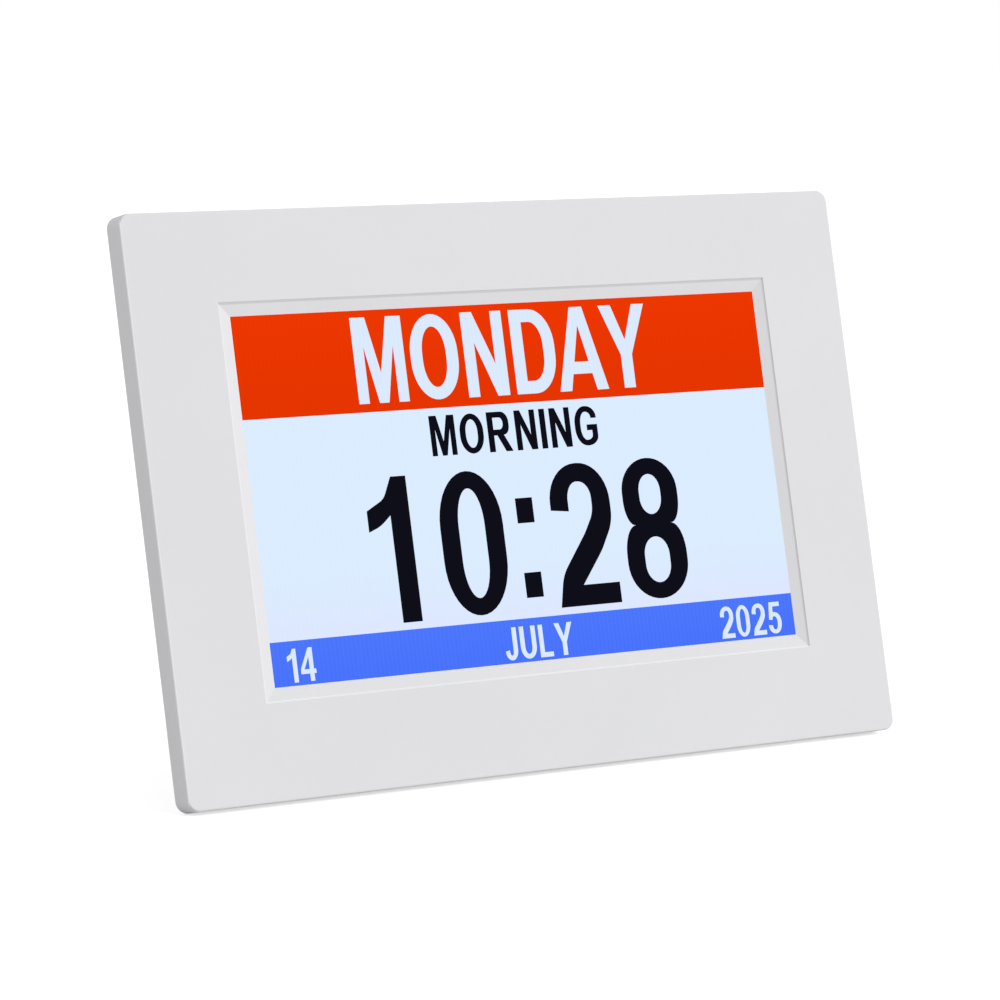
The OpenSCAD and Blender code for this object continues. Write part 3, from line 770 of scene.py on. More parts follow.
# Each finish by the record's material slot.
FINISHES: dict[str, Finish] = {
    # Injection-moulded ABS, spark-eroded: the case's matt grey-white with its soft even sheen.
    "white_abs": MouldedPlastic("abs_grey_white_moulded", "e7e7e9", 0.65, cast=0.01),
    # The same ABS from a polished mould: key caps, a little shinier than the case.
    "key_abs": MouldedPlastic("abs_key_cap_moulded", "dededf", 0.38, 0.5, 0.006),
    # Etched polarising film over an unlit cell: near black with a soft, wide reflection.
    "display_face": MouldedPlastic("polariser_film_etched", "17181c", 0.42, 0.25, 0.004),
    # The lit picture: a hot red band, a cool white field, a blue band, and dark and light characters.
    "screen_red": LitPicture("picture_red_lit", "ee3701", 0.6, "e63500", 92, 110, 0.015),
    "screen_pale": LitPicture("picture_white_lit", "dcedff", 0.6, "dee8ff", 37, 50, 0.01),
    "screen_blue": LitPicture("picture_blue_lit", "4d78ff", 0.6, "4a74ff", 26, 36, 0.055),
    "screen_ink": LitPicture("picture_ink_dark", "0f0f19", 0.6, "0f0f19", 26, 110, 0.02),
    "screen_light": LitPicture("picture_letter_lit", "dcebfe", 0.6, "dcebfe", 26, 110, 0.02),
    # Float glass 0.5 mm thick: clear, with a faint cold edge.
    "display_glass": ClearSheet("float_glass_thin", "e6f2f0", 0.02, 1.52, 0.92),
    # Cast acrylic and polyester film: clear and a touch warmer than the glass.
    "clear_acrylic": ClearSheet("acrylic_cast_clear", "f2f5f4", 0.08, 1.49, 0.85),
    # Filled polycarbonate and foamed film: a flat bright white.
    "white_sheet": MouldedPlastic("polycarbonate_white_filled", "f1f1ec", 0.6, 0.2, 0.004),
    # Tinned steel sheet: pale grey with rolling lines.
    "tinned_steel": RolledMetal("steel_sheet_tinned", "c4c6ca", 0.36),
    # Zinc-plated screw steel: shinier, with short fine scuffs from the plating barrel.
    "zinc_screw": RolledMetal("screw_steel_zinc_plated", "b9bcc2", 0.3, 0.2, 3),
    # Ground steel rod: the hinge pin and its washers, smooth and a little darker.
    "pin_steel": RolledMetal("steel_rod_ground", "a9abb0", 0.24, 0.08, 60, 0.04),
    # Glass-fibre laminate under green mask: wet and glossy.
    "board_green": BoardLaminate("board_laminate_masked", "124a28", 0.3),
    # Moulded epoxy and black acetal: charcoal with a fine mould grain.
    "chip_epoxy": MouldedPlastic("epoxy_black_moulded", "232325", 0.5, 0.15, 0.008),
    # Natural nylon: warm, waxy white.
    "cream_nylon": MouldedPlastic("nylon_natural_moulded", "e6dcc0", 0.42, 0.4, 0.004),
    # Polyimide film: glossy amber.
    "amber_film": MouldedPlastic("polyimide_film_cast", "b3721f", 0.25, 1.2, 0.003, 0.06),
    # Silicone with phosphor: matt yellow.
    "led_resin": MouldedPlastic("phosphor_resin_cast", "efe08a", 0.45, 0.2, 0.004),
    # Drawn aluminium cans: a soft pale grey with short drawing lines.
    "can_aluminium": RolledMetal("aluminium_can_drawn", "ced0d2", 0.3, 0.15, 20),
    # Sintered ferrite: dark grey and grainy.
    "ferrite": CellFoam("ferrite_sintered", "3a3a3d", 0.55, 0.3, 0.02),
    # Pressed paper pulp: black, with the pulp's fine pits.
    "cone_paper": CellFoam("cone_paper_pressed", "1d1d1f", 0.85, 0.45, 0.03),
    # Closed-cell foam: dull black, pitted.
    "foam": CellFoam("foam_closed_cell", "262628", 0.9, 0.6, 0.1),
    # Moulded silicone: dark grey, dry and dull.
    "foot_rubber": CellFoam("silicone_rubber_moulded", "3b3b3e", 0.7, 0.35, 0.01),
    # PVC lead insulation: glossy red.
    "lead_pvc": MouldedPlastic("pvc_lead_extruded", "b0241f", 0.3, 0.6, 0.004),
}
# The front frame's ABS: as the rest of the case, with painted highlights and painted shade in its creases
# and along its rims.
FRAME_ABS_PAINTED_LIGHT = FramePlastic("abs_grey_white_frame", "e7e7e9", 0.65, cast=0.01)
# Woven polyester scrim behind the loudspeaker's grille: black, with a fine grid of threads.
SCRIM = WovenScrim("scrim_polyester_woven", "1b1b1c", 0.85)
# Ink of the key signs: a mid grey pad print, matt.
KEY_INK = MouldedPlastic("pad_print_grey", "6f7276", 0.6, 0.2, 0.002)


class Wardrobe:
    """Builds each finish once and hands it out."""

    def __init__(self) -> None:
        """Starts with nothing built."""
        self.made: dict[str, Material] = {}

    def get(self, finish: Finish | str) -> Material:
        """Makes a finish's material when it is first asked for.

        Args:
            finish: The finish, or the slot that it belongs to.

        Returns:
            The material.
        """
        wanted = FINISHES[finish] if isinstance(finish, str) else finish
        if wanted.name not in self.made:
            self.made[wanted.name] = wanted.build()
        return self.made[wanted.name]

    def dress_frame(self) -> int:
        """Gives every CAD node its finish.

        Returns:
            How many nodes there are.
        """
        for part in frame["record"]["subparts"]:
            node = frame["nodes"][part["node"]]
            node.data.materials.clear()
            # the front frame gets the finish with painted highlights and painted shade
            finish = FRAME_ABS_PAINTED_LIGHT if part["node"] == "front_frame" else part["material_slot"]
            node.data.materials.append(self.get(finish))
        return len(frame["record"]["subparts"])


# ---- Flat outlines: letters, numbers and signs ----


def block(x: float, low: float, high: float, corner: float) -> Outline:
    """Returns a block's outline from -x to x; a corner just under half its height makes a circle."""
    return [(-x, low, corner), (x, low, corner), (x, high, corner), (-x, high, corner)]


def rounded(corners: Outline, steps: int = 10) -> list[Pair]:
    """Rounds the corners of a closed outline.

    Args:
        corners: Points (x, y), or (x, y, radius) where the corner is rounded, or (x, y, radius
            across, radius up) for part of an ellipse at a square corner.
        steps: How many straight steps stand for one rounded corner.

    Returns:
        The outline's points.
    """
    points = []
    for i, corner in enumerate(corners):
        here = Vector(corner[:2])
        if len(corner) == 2:
            points.append((here.x, here.y))
            continue
        before = (Vector(corners[i - 1][:2]) - here).normalized()
        after = (Vector(corners[(i + 1) % len(corners)][:2]) - here).normalized()
        if len(corner) == 4:
            back, on = (side * corner[2 if abs(side.x) > 0.5 else 3] for side in (before, after))
            centre = here + back + on
            for k in range(steps + 1):
                angle = math.pi / 2 * k / steps
                point = centre - on * math.cos(angle) - back * math.sin(angle)
                points.append((point.x, point.y))
            continue
        half = before.angle(after) / 2
        centre = here + (before + after).normalized() * corner[2] / math.sin(half)
        reach = corner[2] / math.tan(half)
        first = here + before * reach - centre
        last = here + after * reach - centre
        start = math.atan2(first.y, first.x)
        turn = (math.atan2(last.y, last.x) - start + math.pi) % (2 * math.pi) - math.pi
        for k in range(steps + 1):
            angle = start + turn * k / steps
            points.append((centre.x + corner[2] * math.cos(angle), centre.y + corner[2] * math.sin(angle)))
    return points


def flat_piece(name: str, outlines: list[list[Pair]], y: Pair) -> Object:
    """Makes a flat plate from closed outlines; an outline inside another is a hole.

    Args:
        name: The piece's name.
        outlines: Closed outlines as (x, z), in panel millimetres.
        y: Front and back of the plate, in panel millimetres.

    Returns:
        The plate, with its place in its mesh.
    """
    curve = bpy.data.curves.new(name, "CURVE")
    curve.dimensions = "2D"
    curve.fill_mode = "BOTH"
    curve.extrude = (y[1] - y[0]) / 2 * MM
    for outline in outlines:
        spline = curve.splines.new("POLY")
        spline.points.add(len(outline) - 1)
        for point, (px, pz) in zip(spline.points, outline):
            point.co = (px * MM, pz * MM, 0, 1)
        spline.use_cyclic_u = True
    obj = bpy.data.objects.new(name, curve)
    bpy.context.scene.collection.objects.link(obj)
    pick(obj)
    bpy.ops.object.convert(target="MESH")
    obj = bpy.context.object
    middle = Matrix.Translation((0, (y[0] + y[1]) / 2 * MM, 0))
    obj.matrix_world = middle @ Matrix.Rotation(math.pi / 2, 4, "X")
    bpy.ops.object.transform_apply(location=True, rotation=True, scale=True)
    face_outwards(obj)
    return obj


# Condensed bold letterforms of this clock's own, one unit high: width, then closed outlines.
LETTERS: dict[str, tuple[float, list[Outline]]] = {
    "M": (0.80, [[(0, 0), (0.165, 0), (0.165, 0.66), (0.325, 0), (0.475, 0), (0.635, 0.66), (0.635, 0),
                  (0.80, 0), (0.80, 1), (0.565, 1), (0.40, 0.35), (0.235, 1), (0, 1)]]),
    "O": (0.76, [[(0, 0, 0.38, 0.45), (0.76, 0, 0.38, 0.45), (0.76, 1, 0.38, 0.45), (0, 1, 0.38, 0.45)],
                 [(0.19, 0.145, 0.19, 0.31), (0.57, 0.145, 0.19, 0.31), (0.57, 0.855, 0.19, 0.31),
                  (0.19, 0.855, 0.19, 0.31)]]),
    "N": (0.67, [[(0, 0), (0.18, 0), (0.18, 0.64), (0.475, 0), (0.67, 0), (0.67, 1), (0.49, 1),
                  (0.49, 0.375), (0.19, 1), (0, 1)]]),
    "D": (0.70, [[(0, 0), (0.70, 0, 0.38, 0.44), (0.70, 1, 0.38, 0.44), (0, 1)],
                 [(0.19, 0.15), (0.51, 0.15, 0.20, 0.28), (0.51, 0.85, 0.20, 0.28), (0.19, 0.85)]]),
    "A": (0.82, [[(0, 0), (0.195, 0), (0.25, 0.20), (0.57, 0.20), (0.625, 0), (0.82, 0), (0.515, 1),
                  (0.305, 1)],
                 [(0.29, 0.345), (0.53, 0.345), (0.41, 0.78)]]),
    "Y": (0.78, [[(0.295, 0), (0.485, 0), (0.485, 0.40), (0.78, 1), (0.57, 1), (0.39, 0.58), (0.21, 1),
                  (0, 1), (0.295, 0.40)]]),
    "R": (0.76, [[(0, 0), (0.19, 0), (0.19, 0.41), (0.295, 0.41), (0.535, 0), (0.76, 0), (0.51, 0.42),
                  (0.70, 0.42, 0.18, 0.22), (0.70, 1, 0.25, 0.27), (0, 1)],
                 [(0.19, 0.555), (0.51, 0.555, 0.12, 0.15), (0.51, 0.855, 0.12, 0.15), (0.19, 0.855)]]),
    "I": (0.19, [[(0, 0), (0.19, 0), (0.19, 1), (0, 1)]]),
    "G": (0.74, [[(0, 0, 0.37, 0.44), (0.74, 0, 0.35, 0.24), (0.74, 0.53), (0.39, 0.53), (0.39, 0.385),
                  (0.56, 0.385), (0.56, 0.145, 0.18, 0.12), (0.19, 0.145, 0.18, 0.30),
                  (0.19, 0.855, 0.18, 0.30), (0.545, 0.855, 0.16, 0.15), (0.545, 0.69), (0.73, 0.69),
                  (0.73, 1, 0.34, 0.28), (0, 1, 0.37, 0.44)]]),
    "J": (0.52, [[(0, 0.29), (0, 0, 0.25, 0.27), (0.52, 0, 0.26, 0.32), (0.52, 1), (0.33, 1),
                  (0.33, 0.145, 0.08, 0.12), (0.175, 0.145, 0.07, 0.12), (0.175, 0.31)]]),
    "U": (0.68, [[(0, 1), (0, 0, 0.33, 0.38), (0.68, 0, 0.33, 0.38), (0.68, 1), (0.49, 1),
                  (0.49, 0.145, 0.15, 0.22), (0.19, 0.145, 0.15, 0.22), (0.19, 1)]]),
    "L": (0.56, [[(0, 0), (0.56, 0), (0.56, 0.15), (0.19, 0.15), (0.19, 1), (0, 1)]]),
    "0": (0.53, [[(0, 0, 0.265, 0.38), (0.53, 0, 0.265, 0.38), (0.53, 1, 0.265, 0.38), (0, 1, 0.265, 0.38)],
                 [(0.155, 0.12, 0.11, 0.26), (0.375, 0.12, 0.11, 0.26), (0.375, 0.88, 0.11, 0.26),
                  (0.155, 0.88, 0.11, 0.26)]]),
    "1": (0.35, [[(0.19, 0), (0.35, 0), (0.35, 1), (0.225, 1), (0.15, 0.85, 0.12), (0, 0.775), (0, 0.63),
                  (0.10, 0.665, 0.3), (0.19, 0.735)]]),
    "2": (0.53, [[(0, 0), (0.53, 0), (0.53, 0.145), (0.215, 0.145), (0.41, 0.375, 0.5), (0.53, 0.57, 0.3),
                  (0.53, 1, 0.25, 0.28), (0.01, 1, 0.25, 0.27), (0.01, 0.68), (0.165, 0.665),
                  (0.165, 0.87, 0.09, 0.13), (0.37, 0.87, 0.1, 0.12), (0.37, 0.645, 0.2),
                  (0.28, 0.505, 0.4), (0.05, 0.225, 0.3)]]),
    "4": (0.565, [[(0.325, 0), (0.485, 0), (0.485, 0.225), (0.565, 0.225), (0.565, 0.36), (0.485, 0.36),
                   (0.485, 1), (0.335, 1), (0, 0.375), (0, 0.225), (0.325, 0.225)],
                  [(0.325, 0.36), (0.325, 0.73), (0.135, 0.36)]]),
    "5": (0.53, [[(0, 0.28), (0, 0, 0.25, 0.26), (0.53, 0, 0.26, 0.34), (0.53, 0.675, 0.25, 0.32),
                  (0.205, 0.675, 0.05), (0.222, 0.86), (0.50, 0.86), (0.50, 1), (0.088, 1), (0.032, 0.45),
                  (0.17, 0.435), (0.19, 0.545, 0.06), (0.367, 0.545, 0.10, 0.18), (0.367, 0.13, 0.10, 0.18),
                  (0.163, 0.13, 0.09, 0.11), (0.163, 0.265)]]),
    "8": (0.53, [[(0, 0, 0.265, 0.26), (0.53, 0, 0.265, 0.26), (0.53, 0.53, 0.11, 0.22), (0.42, 0.53),
                  (0.51, 0.53, 0.085, 0.18), (0.51, 1, 0.245, 0.24), (0.02, 1, 0.245, 0.24),
                  (0.02, 0.53, 0.085, 0.18), (0.11, 0.53), (0, 0.53, 0.11, 0.22)],
                 [(0.155, 0.115, 0.11, 0.13), (0.375, 0.115, 0.11, 0.13), (0.375, 0.44, 0.11, 0.13),
                  (0.155, 0.44, 0.11, 0.13)],
                 [(0.17, 0.60, 0.095, 0.12), (0.36, 0.60, 0.095, 0.12), (0.36, 0.885, 0.095, 0.12),
                  (0.17, 0.885, 0.095, 0.12)]]),
    ":": (0.145, [[(0, 0.09), (0.145, 0.09), (0.145, 0.265), (0, 0.265)],
                  [(0, 0.61), (0.145, 0.61), (0.145, 0.785), (0, 0.785)]]),
}


# ---- Sub-assemblies ----


class Tone(Enum):
    """The tones that the picture's characters come in, as material slots."""

    LIGHT = "screen_light"
    INK = "screen_ink"


@dataclass(frozen=True)
class Line:
    """One line of characters in the picture, in millimetres from the picture's centre.

    Attributes:
        name: The piece's name.
        text: What it says: plain words and numbers of no real day that matters.
        cap: Height of the characters.
        base: Height of the line's foot above the picture's centre.
        tone: Light or dark.
        places: Left edges of the characters; or one number, the middle of the whole line.
        gap: Space between characters, where places is one number.
        squeeze: Width of the letterforms as a share of their drawn width.
    """

    name: str
    text: str
    cap: float
    base: float
    tone: Tone
    places: tuple[float, ...]
    gap: float = 1.6
    squeeze: float = 1.0

    def starts(self) -> list[float]:
        """Works out where each character starts.

        Returns:
            The left edge of each, in millimetres from the picture's centre.
        """
        if len(self.places) > 1:
            return list(self.places)
        widths = [LETTERS[c][0] * self.cap * self.squeeze for c in self.text]
        edge = self.places[0] - (sum(widths) + self.gap * (len(widths) - 1)) / 2
        edges = []
        for width in widths:
            edges.append(edge)
            edge += width + self.gap
        return edges


@dataclass
class Readout:
    """The lit picture: three bands of colour with the day, the time and the date on them.

    Attributes:
        half_width: Half of the picture's width, in millimetres.
        half_height: Half of its height.
        tuck: How far the picture runs on behind the window's edge.
        red_foot: Foot of the red band above the picture's centre.
        blue_top: Top of the blue band above the picture's centre.
        back: Depth of the polariser's face behind the frame's front face.
        band: Thickness of a band, in millimetres.
        letter: Thickness of a character, in millimetres.
        eased: Width of a band's eased edges, in millimetres.
        lines: The lines of characters.
    """

    half_width: float = 77.05
    half_height: float = 42.95
    tuck: float = 0.5
    red_foot: float = 18.9
    blue_top: float = -32.6
    back: float = 0.9
    band: float = 0.03
    letter: float = 0.02
    eased: float = 0.006
    lines: tuple[Line, ...] = field(default_factory=lambda: (
        Line("word_day", "MONDAY", 20.4, 20.9, Tone.LIGHT, (-44.2, -28.1, -12.6, 1.6, 14.4, 28.6),
             squeeze=0.88),
        Line("word_part_of_day", "MORNING", 9.6, 7.5, Tone.INK, (-0.6,), 1.3, 0.94),
        Line("numbers_time", "10:28", 34.4, -30.9, Tone.INK, (-45.9, -25.7, -3.1, 6.7, 28.2)),
        Line("number_day", "14", 7.8, -42.2, Tone.LIGHT, (-69.0,), 0.9, 0.95),
        Line("word_month", "JULY", 7.8, -42.2, Tone.LIGHT, (-1.1,), 0.9, 0.88),
        Line("number_year", "2025", 7.8, -42.2, Tone.LIGHT, (63.6,), 0.85, 1.0),
    ))

    def band_piece(self, name: str, low: float, high: float) -> Object:
        """Makes one band of the picture, a sheet with eased edges.

        Args:
            name: The piece's name.
            low: Its foot above the picture's centre.
            high: Its top above the picture's centre.

        Returns:
            The band.
        """
        wide = self.half_width + self.tuck
        depth = (self.back - self.band, self.back)
        obj = cube((-wide, wide), depth, (PANEL.picture + low, PANEL.picture + high))
        obj.name = name
        apply_modifier(obj, "BEVEL", width=self.eased * MM, segments=1)
        return obj

    def line_piece(self, line: Line) -> Object:
        """Makes one line of characters as a thin plate on the bands.

        Args:
            line: What it says and where.

        Returns:
            The plate.
        """
        outlines = []
        for character, left in zip(line.text, line.starts()):
            for outline in LETTERS[character][1]:
                outlines.append([
                    (left + x * line.cap * line.squeeze, PANEL.picture + line.base + z * line.cap)
                    for x, z in rounded(outline)
                ])
        front = self.back - self.band - self.letter
        return flat_piece(line.name, outlines, (front, front + self.letter))

    def build(self, wardrobe: Wardrobe) -> list[Object]:
        """Builds and dresses the whole picture.

        Args:
            wardrobe: Where the finishes come from.

        Returns:
            The picture's pieces.
        """
        reach = self.half_height + self.tuck
        bands = (
            ("picture_red", self.red_foot, reach, "screen_red"),
            ("picture_pale", self.blue_top, self.red_foot, "screen_pale"),
            ("picture_blue", -reach, self.blue_top, "screen_blue"),
        )
        pieces = [PANEL.settle(self.band_piece(name, low, high), "case", wardrobe.get(slot))
                  for name, low, high, slot in bands]
        for line in self.lines:
            slot = line.tone.value
            pieces.append(PANEL.settle(self.line_piece(line), "case", wardrobe.get(slot)))
        return pieces


@dataclass
class KeySigns:
    """The plain signs printed on the six key caps.

    Attributes:
        pitch: Distance from key to key, in millimetres.
        height: Height of the key row on the panel.
        face: Depth of the caps' faces.
        ink: Thickness of the print.
        arrow: The upward arrow's three corners, with the radius of each.
        ring: Outer and inner radius of the ring.
        bar: Half length and thickness of each of the three bars.
        bar_feet: Heights of the bars' feet.
        bar_corner: Radius of a bar's corners.
    """

    pitch: float = 11.5
    height: float = 111.0
    face: float = 20.9
    ink: float = 0.04
    arrow: tuple[Triple, ...] = ((-1.1, -1.0, 0.15), (1.1, -1.0, 0.15), (0, 1.1, 0.15))
    ring: Pair = (1.3, 0.85)
    bar: Pair = (1.4, 0.45)
    bar_feet: Triple = (-1.1, -0.225, 0.65)
    bar_corner: float = 0.1

    def sign(self, name: str) -> list[Outline]:
        """Draws one sign about its cap's centre; from behind, the panel's x runs to the left.

        Args:
            name: The key.

        Returns:
            The sign's outlines, in millimetres, as the panel's x and z.
        """
        long, thick = self.bar
        signs = {
            "up": [list(self.arrow)],
            "down": [[(x, -z, r) for x, z, r in self.arrow]],
            "left": [[(z, x, r) for x, z, r in self.arrow]],
            "right": [[(-z, x, r) for x, z, r in self.arrow]],
            "menu": [block(long, foot, foot + thick, self.bar_corner) for foot in self.bar_feet],
            "ok": [block(radius, -radius, radius, radius * 0.99) for radius in self.ring],
        }
        return signs[name]

    def build(self, wardrobe: Wardrobe) -> list[Object]:
        """Builds and dresses the six signs, each on its own key.

        Args:
            wardrobe: Where the finishes come from.

        Returns:
            The signs.
        """
        signs = []
        for i, name in enumerate(KEYS):
            middle = (i - (len(KEYS) - 1) / 2) * self.pitch
            outlines = [[(middle + x, self.height + z) for x, z in rounded(o)] for o in self.sign(name)]
            obj = flat_piece(f"sign_{name}", outlines, (self.face, self.face + self.ink))
            signs.append(PANEL.settle(obj, f"{name}_key", wardrobe.get(KEY_INK)))
        return signs


@dataclass
class CrossScrews:
    """Screws with a real cross recess, which stand for the CAD's plain ones.

    Attributes:
        name: The piece's name.
        node: The CAD node that they stand for.
        places: Their places on the panel, as (x, z).
        seat: Depth of the face under the head.
        head: Radius of the head.
        rise: Height of the head.
        shank: Radius of the thread's crests.
        length: Length of the shank.
        outwards: 1 where the head looks to the back, -1 where it looks to the front.
        crown: How far the head's top is drawn in, as a share of its radius.
        lift: How far the top is raised, as a share of the head's height.
        rim: Rounding of the head's rim, as a share of its height.
        arm: Half length and half width of the recess's arms, as shares of the head's radius.
        recess: Foot of the recess and top of its cutter, as shares of the head's height.
        taper: Width of the recess's foot as a share of its mouth's.
        thread: Distance from one ring of the thread to the next.
        root: Radius of the thread's root as a share of its crests'.
        tip: Radius of the point as a share of the crests'.
        spin: Turn from each screw to the next, so that no two recesses line up.
        smooth: Edges that turn by less than this are shaded smooth.
    """

    name: str
    node: str
    places: tuple[Pair, ...]
    seat: float
    head: float
    rise: float
    shank: float
    length: float
    outwards: int = 1
    crown: float = 0.25
    lift: float = 0.08
    rim: float = 0.3
    arm: Pair = (0.52, 0.1)
    recess: Pair = (0.4, 1.6)
    taper: float = 0.55
    thread: float = 0.55
    root: float = 0.78
    tip: float = 0.35
    spin: float = math.radians(37)
    smooth: float = math.radians(35)

    def head_piece(self) -> Object:
        """Models the head, with its crown, its rounded rim and its cross recess.

        Returns:
            The head.
        """
        head = drum((0, self.rise / 2, 0), self.head, self.rise, 40)
        select_faces(head, Vector((0, 1, 0)))
        bpy.ops.mesh.inset(thickness=self.head * self.crown * MM, depth=0)
        bpy.ops.transform.translate(value=(0, self.rise * self.lift * MM, 0))
        bpy.ops.object.mode_set(mode="OBJECT")
        apply_modifier(head, "BEVEL", width=self.rise * self.rim * MM, segments=4, limit_method="ANGLE",
                       angle_limit=CREASE)
        foot, top = (self.rise * share for share in self.recess)
        arm, slot = (self.head * share for share in self.arm)
        for cutter in [cube((-x, x), (foot, top), (-z, z)) for x, z in ((arm, slot), (slot, arm))]:
            select_faces(cutter, Vector((0, -1, 0)))
            bpy.ops.transform.resize(value=(self.taper, 1, self.taper))
            bpy.ops.object.mode_set(mode="OBJECT")
            apply_modifier(head, "BOOLEAN", object=cutter, operation="DIFFERENCE", solver="EXACT")
            bpy.data.objects.remove(cutter)
        return head

    def thread_ring(self, index: int, rings: int) -> Object:
        """Models one ring of the thread; the last one is the point.

        Args:
            index: Which ring, counted from the head.
            rings: How many rings there are.

        Returns:
            The ring.
        """
        step = self.length / rings
        narrow = self.tip if index == rings - 1 else self.root
        deselect()
        bpy.ops.mesh.primitive_cone_add(
            vertices=20, radius1=self.shank * MM, radius2=self.shank * narrow * MM, depth=step * MM,
            location=(0, -(index + 0.5) * step * MM, 0), rotation=(math.pi / 2, 0, 0),
        )
        bpy.ops.object.transform_apply(location=True, rotation=True, scale=True)
        return bpy.context.object

    def one(self) -> Object:
        """Models one screw at the panel's origin, its head to the back.

        Returns:
            The screw.
        """
        rings = max(3, int(self.length / self.thread))
        parts = [self.head_piece()]
        parts += [self.thread_ring(index, rings) for index in range(rings)]
        screw = join(self.name, parts)
        bpy.ops.object.shade_smooth_by_angle(angle=self.smooth)
        return screw

    def build(self, wardrobe: Wardrobe) -> Object:
        """Copies the screw to its places, dresses it, and hides the CAD's own screws.

        Args:
            wardrobe: Where the finishes come from.

        Returns:
            The screws as one piece.
        """
        first = self.one()
        copies = []
        for i, (x, z) in enumerate(self.places):
            copy = first.copy()
            copy.data = first.data.copy()
            bpy.context.scene.collection.objects.link(copy)
            turn = Matrix.Rotation(self.spin * i, 4, "Y")
            flip = Matrix.Rotation(0 if self.outwards > 0 else math.pi, 4, "X")
            copy.matrix_world = Matrix.Translation((x * MM, self.seat * MM, z * MM)) @ flip @ turn
            pick(copy)
            bpy.ops.object.transform_apply(location=True, rotation=True, scale=True)
            copies.append(copy)
        bpy.data.objects.remove(first)
        piece = join(self.name, copies)
        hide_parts(self.node)
        return PANEL.settle(piece, "case", wardrobe.get("zinc_screw"))


# The screws that close the case, and those that hold the main board and the key board.
SCREWS = (
    CrossScrews(
        "case_screws_cross", "case_screws",
        tuple((x, z) for x in (-95.3, 95.3) for z in (10, 68.3, 127.6)),
        seat=5.2, head=2.2, rise=1.3, shank=1.1, length=2.9,
    ),
    CrossScrews(
        "board_screws_cross", "board_screws",
        tuple((59.5 + x, 56 + z) for x in (-17, 17) for z in (-33, 33)),
        seat=8.0, head=2.0, rise=1.1, shank=0.85, length=5.0, outwards=-1,
    ),
    CrossScrews(
        "key_board_screws_cross", "key_board_screws", ((-37.5, 111), (37.5, 111)),
        seat=11.0, head=2.0, rise=1.1, shank=0.85, length=5.0, outwards=-1,
    ),
)


@dataclass
class PowerInlet:
    """The bright parts inside the power inlet: its centre pin and its sprung contact.

    Attributes:
        face: Distance of the socket's mouth from the panel's middle.
        depth: Depth of the axis behind the front face.
        height: Height of the axis.
        bore: Radius of the socket.
        pin: Radius of the centre pin's sleeve.
        pin_ends: Distances of the sleeve's two ends behind the mouth.
        eased: Rounding of the sleeve's ends.
        smooth: Edges that turn by less than this are shaded smooth.
        leaf_ends: Distances of the contact's two ends behind the mouth.
        leaf: Width and thickness of the contact.
        clear: Height of the contact's ends above the socket's wall.
        bow: How much higher its middle is.
    """

    face: float = 86.6
    depth: float = 12.3
    height: float = 30.0
    bore: float = 1.8
    pin: float = 0.66
    pin_ends: Pair = (1.2, 6.8)
    eased: float = 0.2
    smooth: float = math.radians(40)
    leaf_ends: Pair = (1.6, 6.4)
    leaf: Pair = (1.1, 0.16)
    clear: float = 0.1
    bow: float = 0.42

    def sleeve(self) -> Object:
        """Models the centre pin's sleeve.

        Returns:
            The sleeve.
        """
        near, far = self.pin_ends
        middle = (self.face - (near + far) / 2, self.depth, self.height)
        sleeve = drum(middle, self.pin, far - near, 28, "X")
        sleeve.name = "inlet_pin"
        apply_modifier(sleeve, "BEVEL", width=self.eased * MM, segments=3, limit_method="ANGLE",
                       angle_limit=CREASE)
        pick(sleeve)
        bpy.ops.object.shade_smooth_by_angle(angle=self.smooth)
        return sleeve

    def contact(self) -> Object:
        """Models the contact, a leaf along the socket's lower wall, bowed in towards the pin.

        Returns:
            The contact.
        """
        near, far = self.leaf_ends
        width, thick = self.leaf
        low = self.height - self.bore
        sides = (self.depth - width / 2, self.depth + width / 2)
        leaf = cube((self.face - far, self.face - near), sides, (low, low + thick))
        leaf.name = "inlet_contact"
        pick(leaf)
        bpy.ops.object.mode_set(mode="EDIT")
        bpy.ops.mesh.select_all(action="SELECT")
        bpy.ops.mesh.subdivide(number_cuts=9)
        bpy.ops.object.mode_set(mode="OBJECT")
        for vertex in leaf.data.vertices:
            share = (vertex.co.x / MM - (self.face - far)) / (far - near)
            rise = math.sin(math.pi * min(max(share, 0), 1)) ** 2
            vertex.co.z += (self.clear + self.bow * rise) * MM
        return leaf

    def build(self, wardrobe: Wardrobe) -> list[Object]:
        """Builds and dresses the pin's sleeve and the contact.

        Args:
            wardrobe: Where the finishes come from.

        Returns:
            The two pieces.
        """
        steel = wardrobe.get("tinned_steel")
        pieces = (self.sleeve(), self.contact())
        return [PANEL.settle(piece, "case", steel) for piece in pieces]


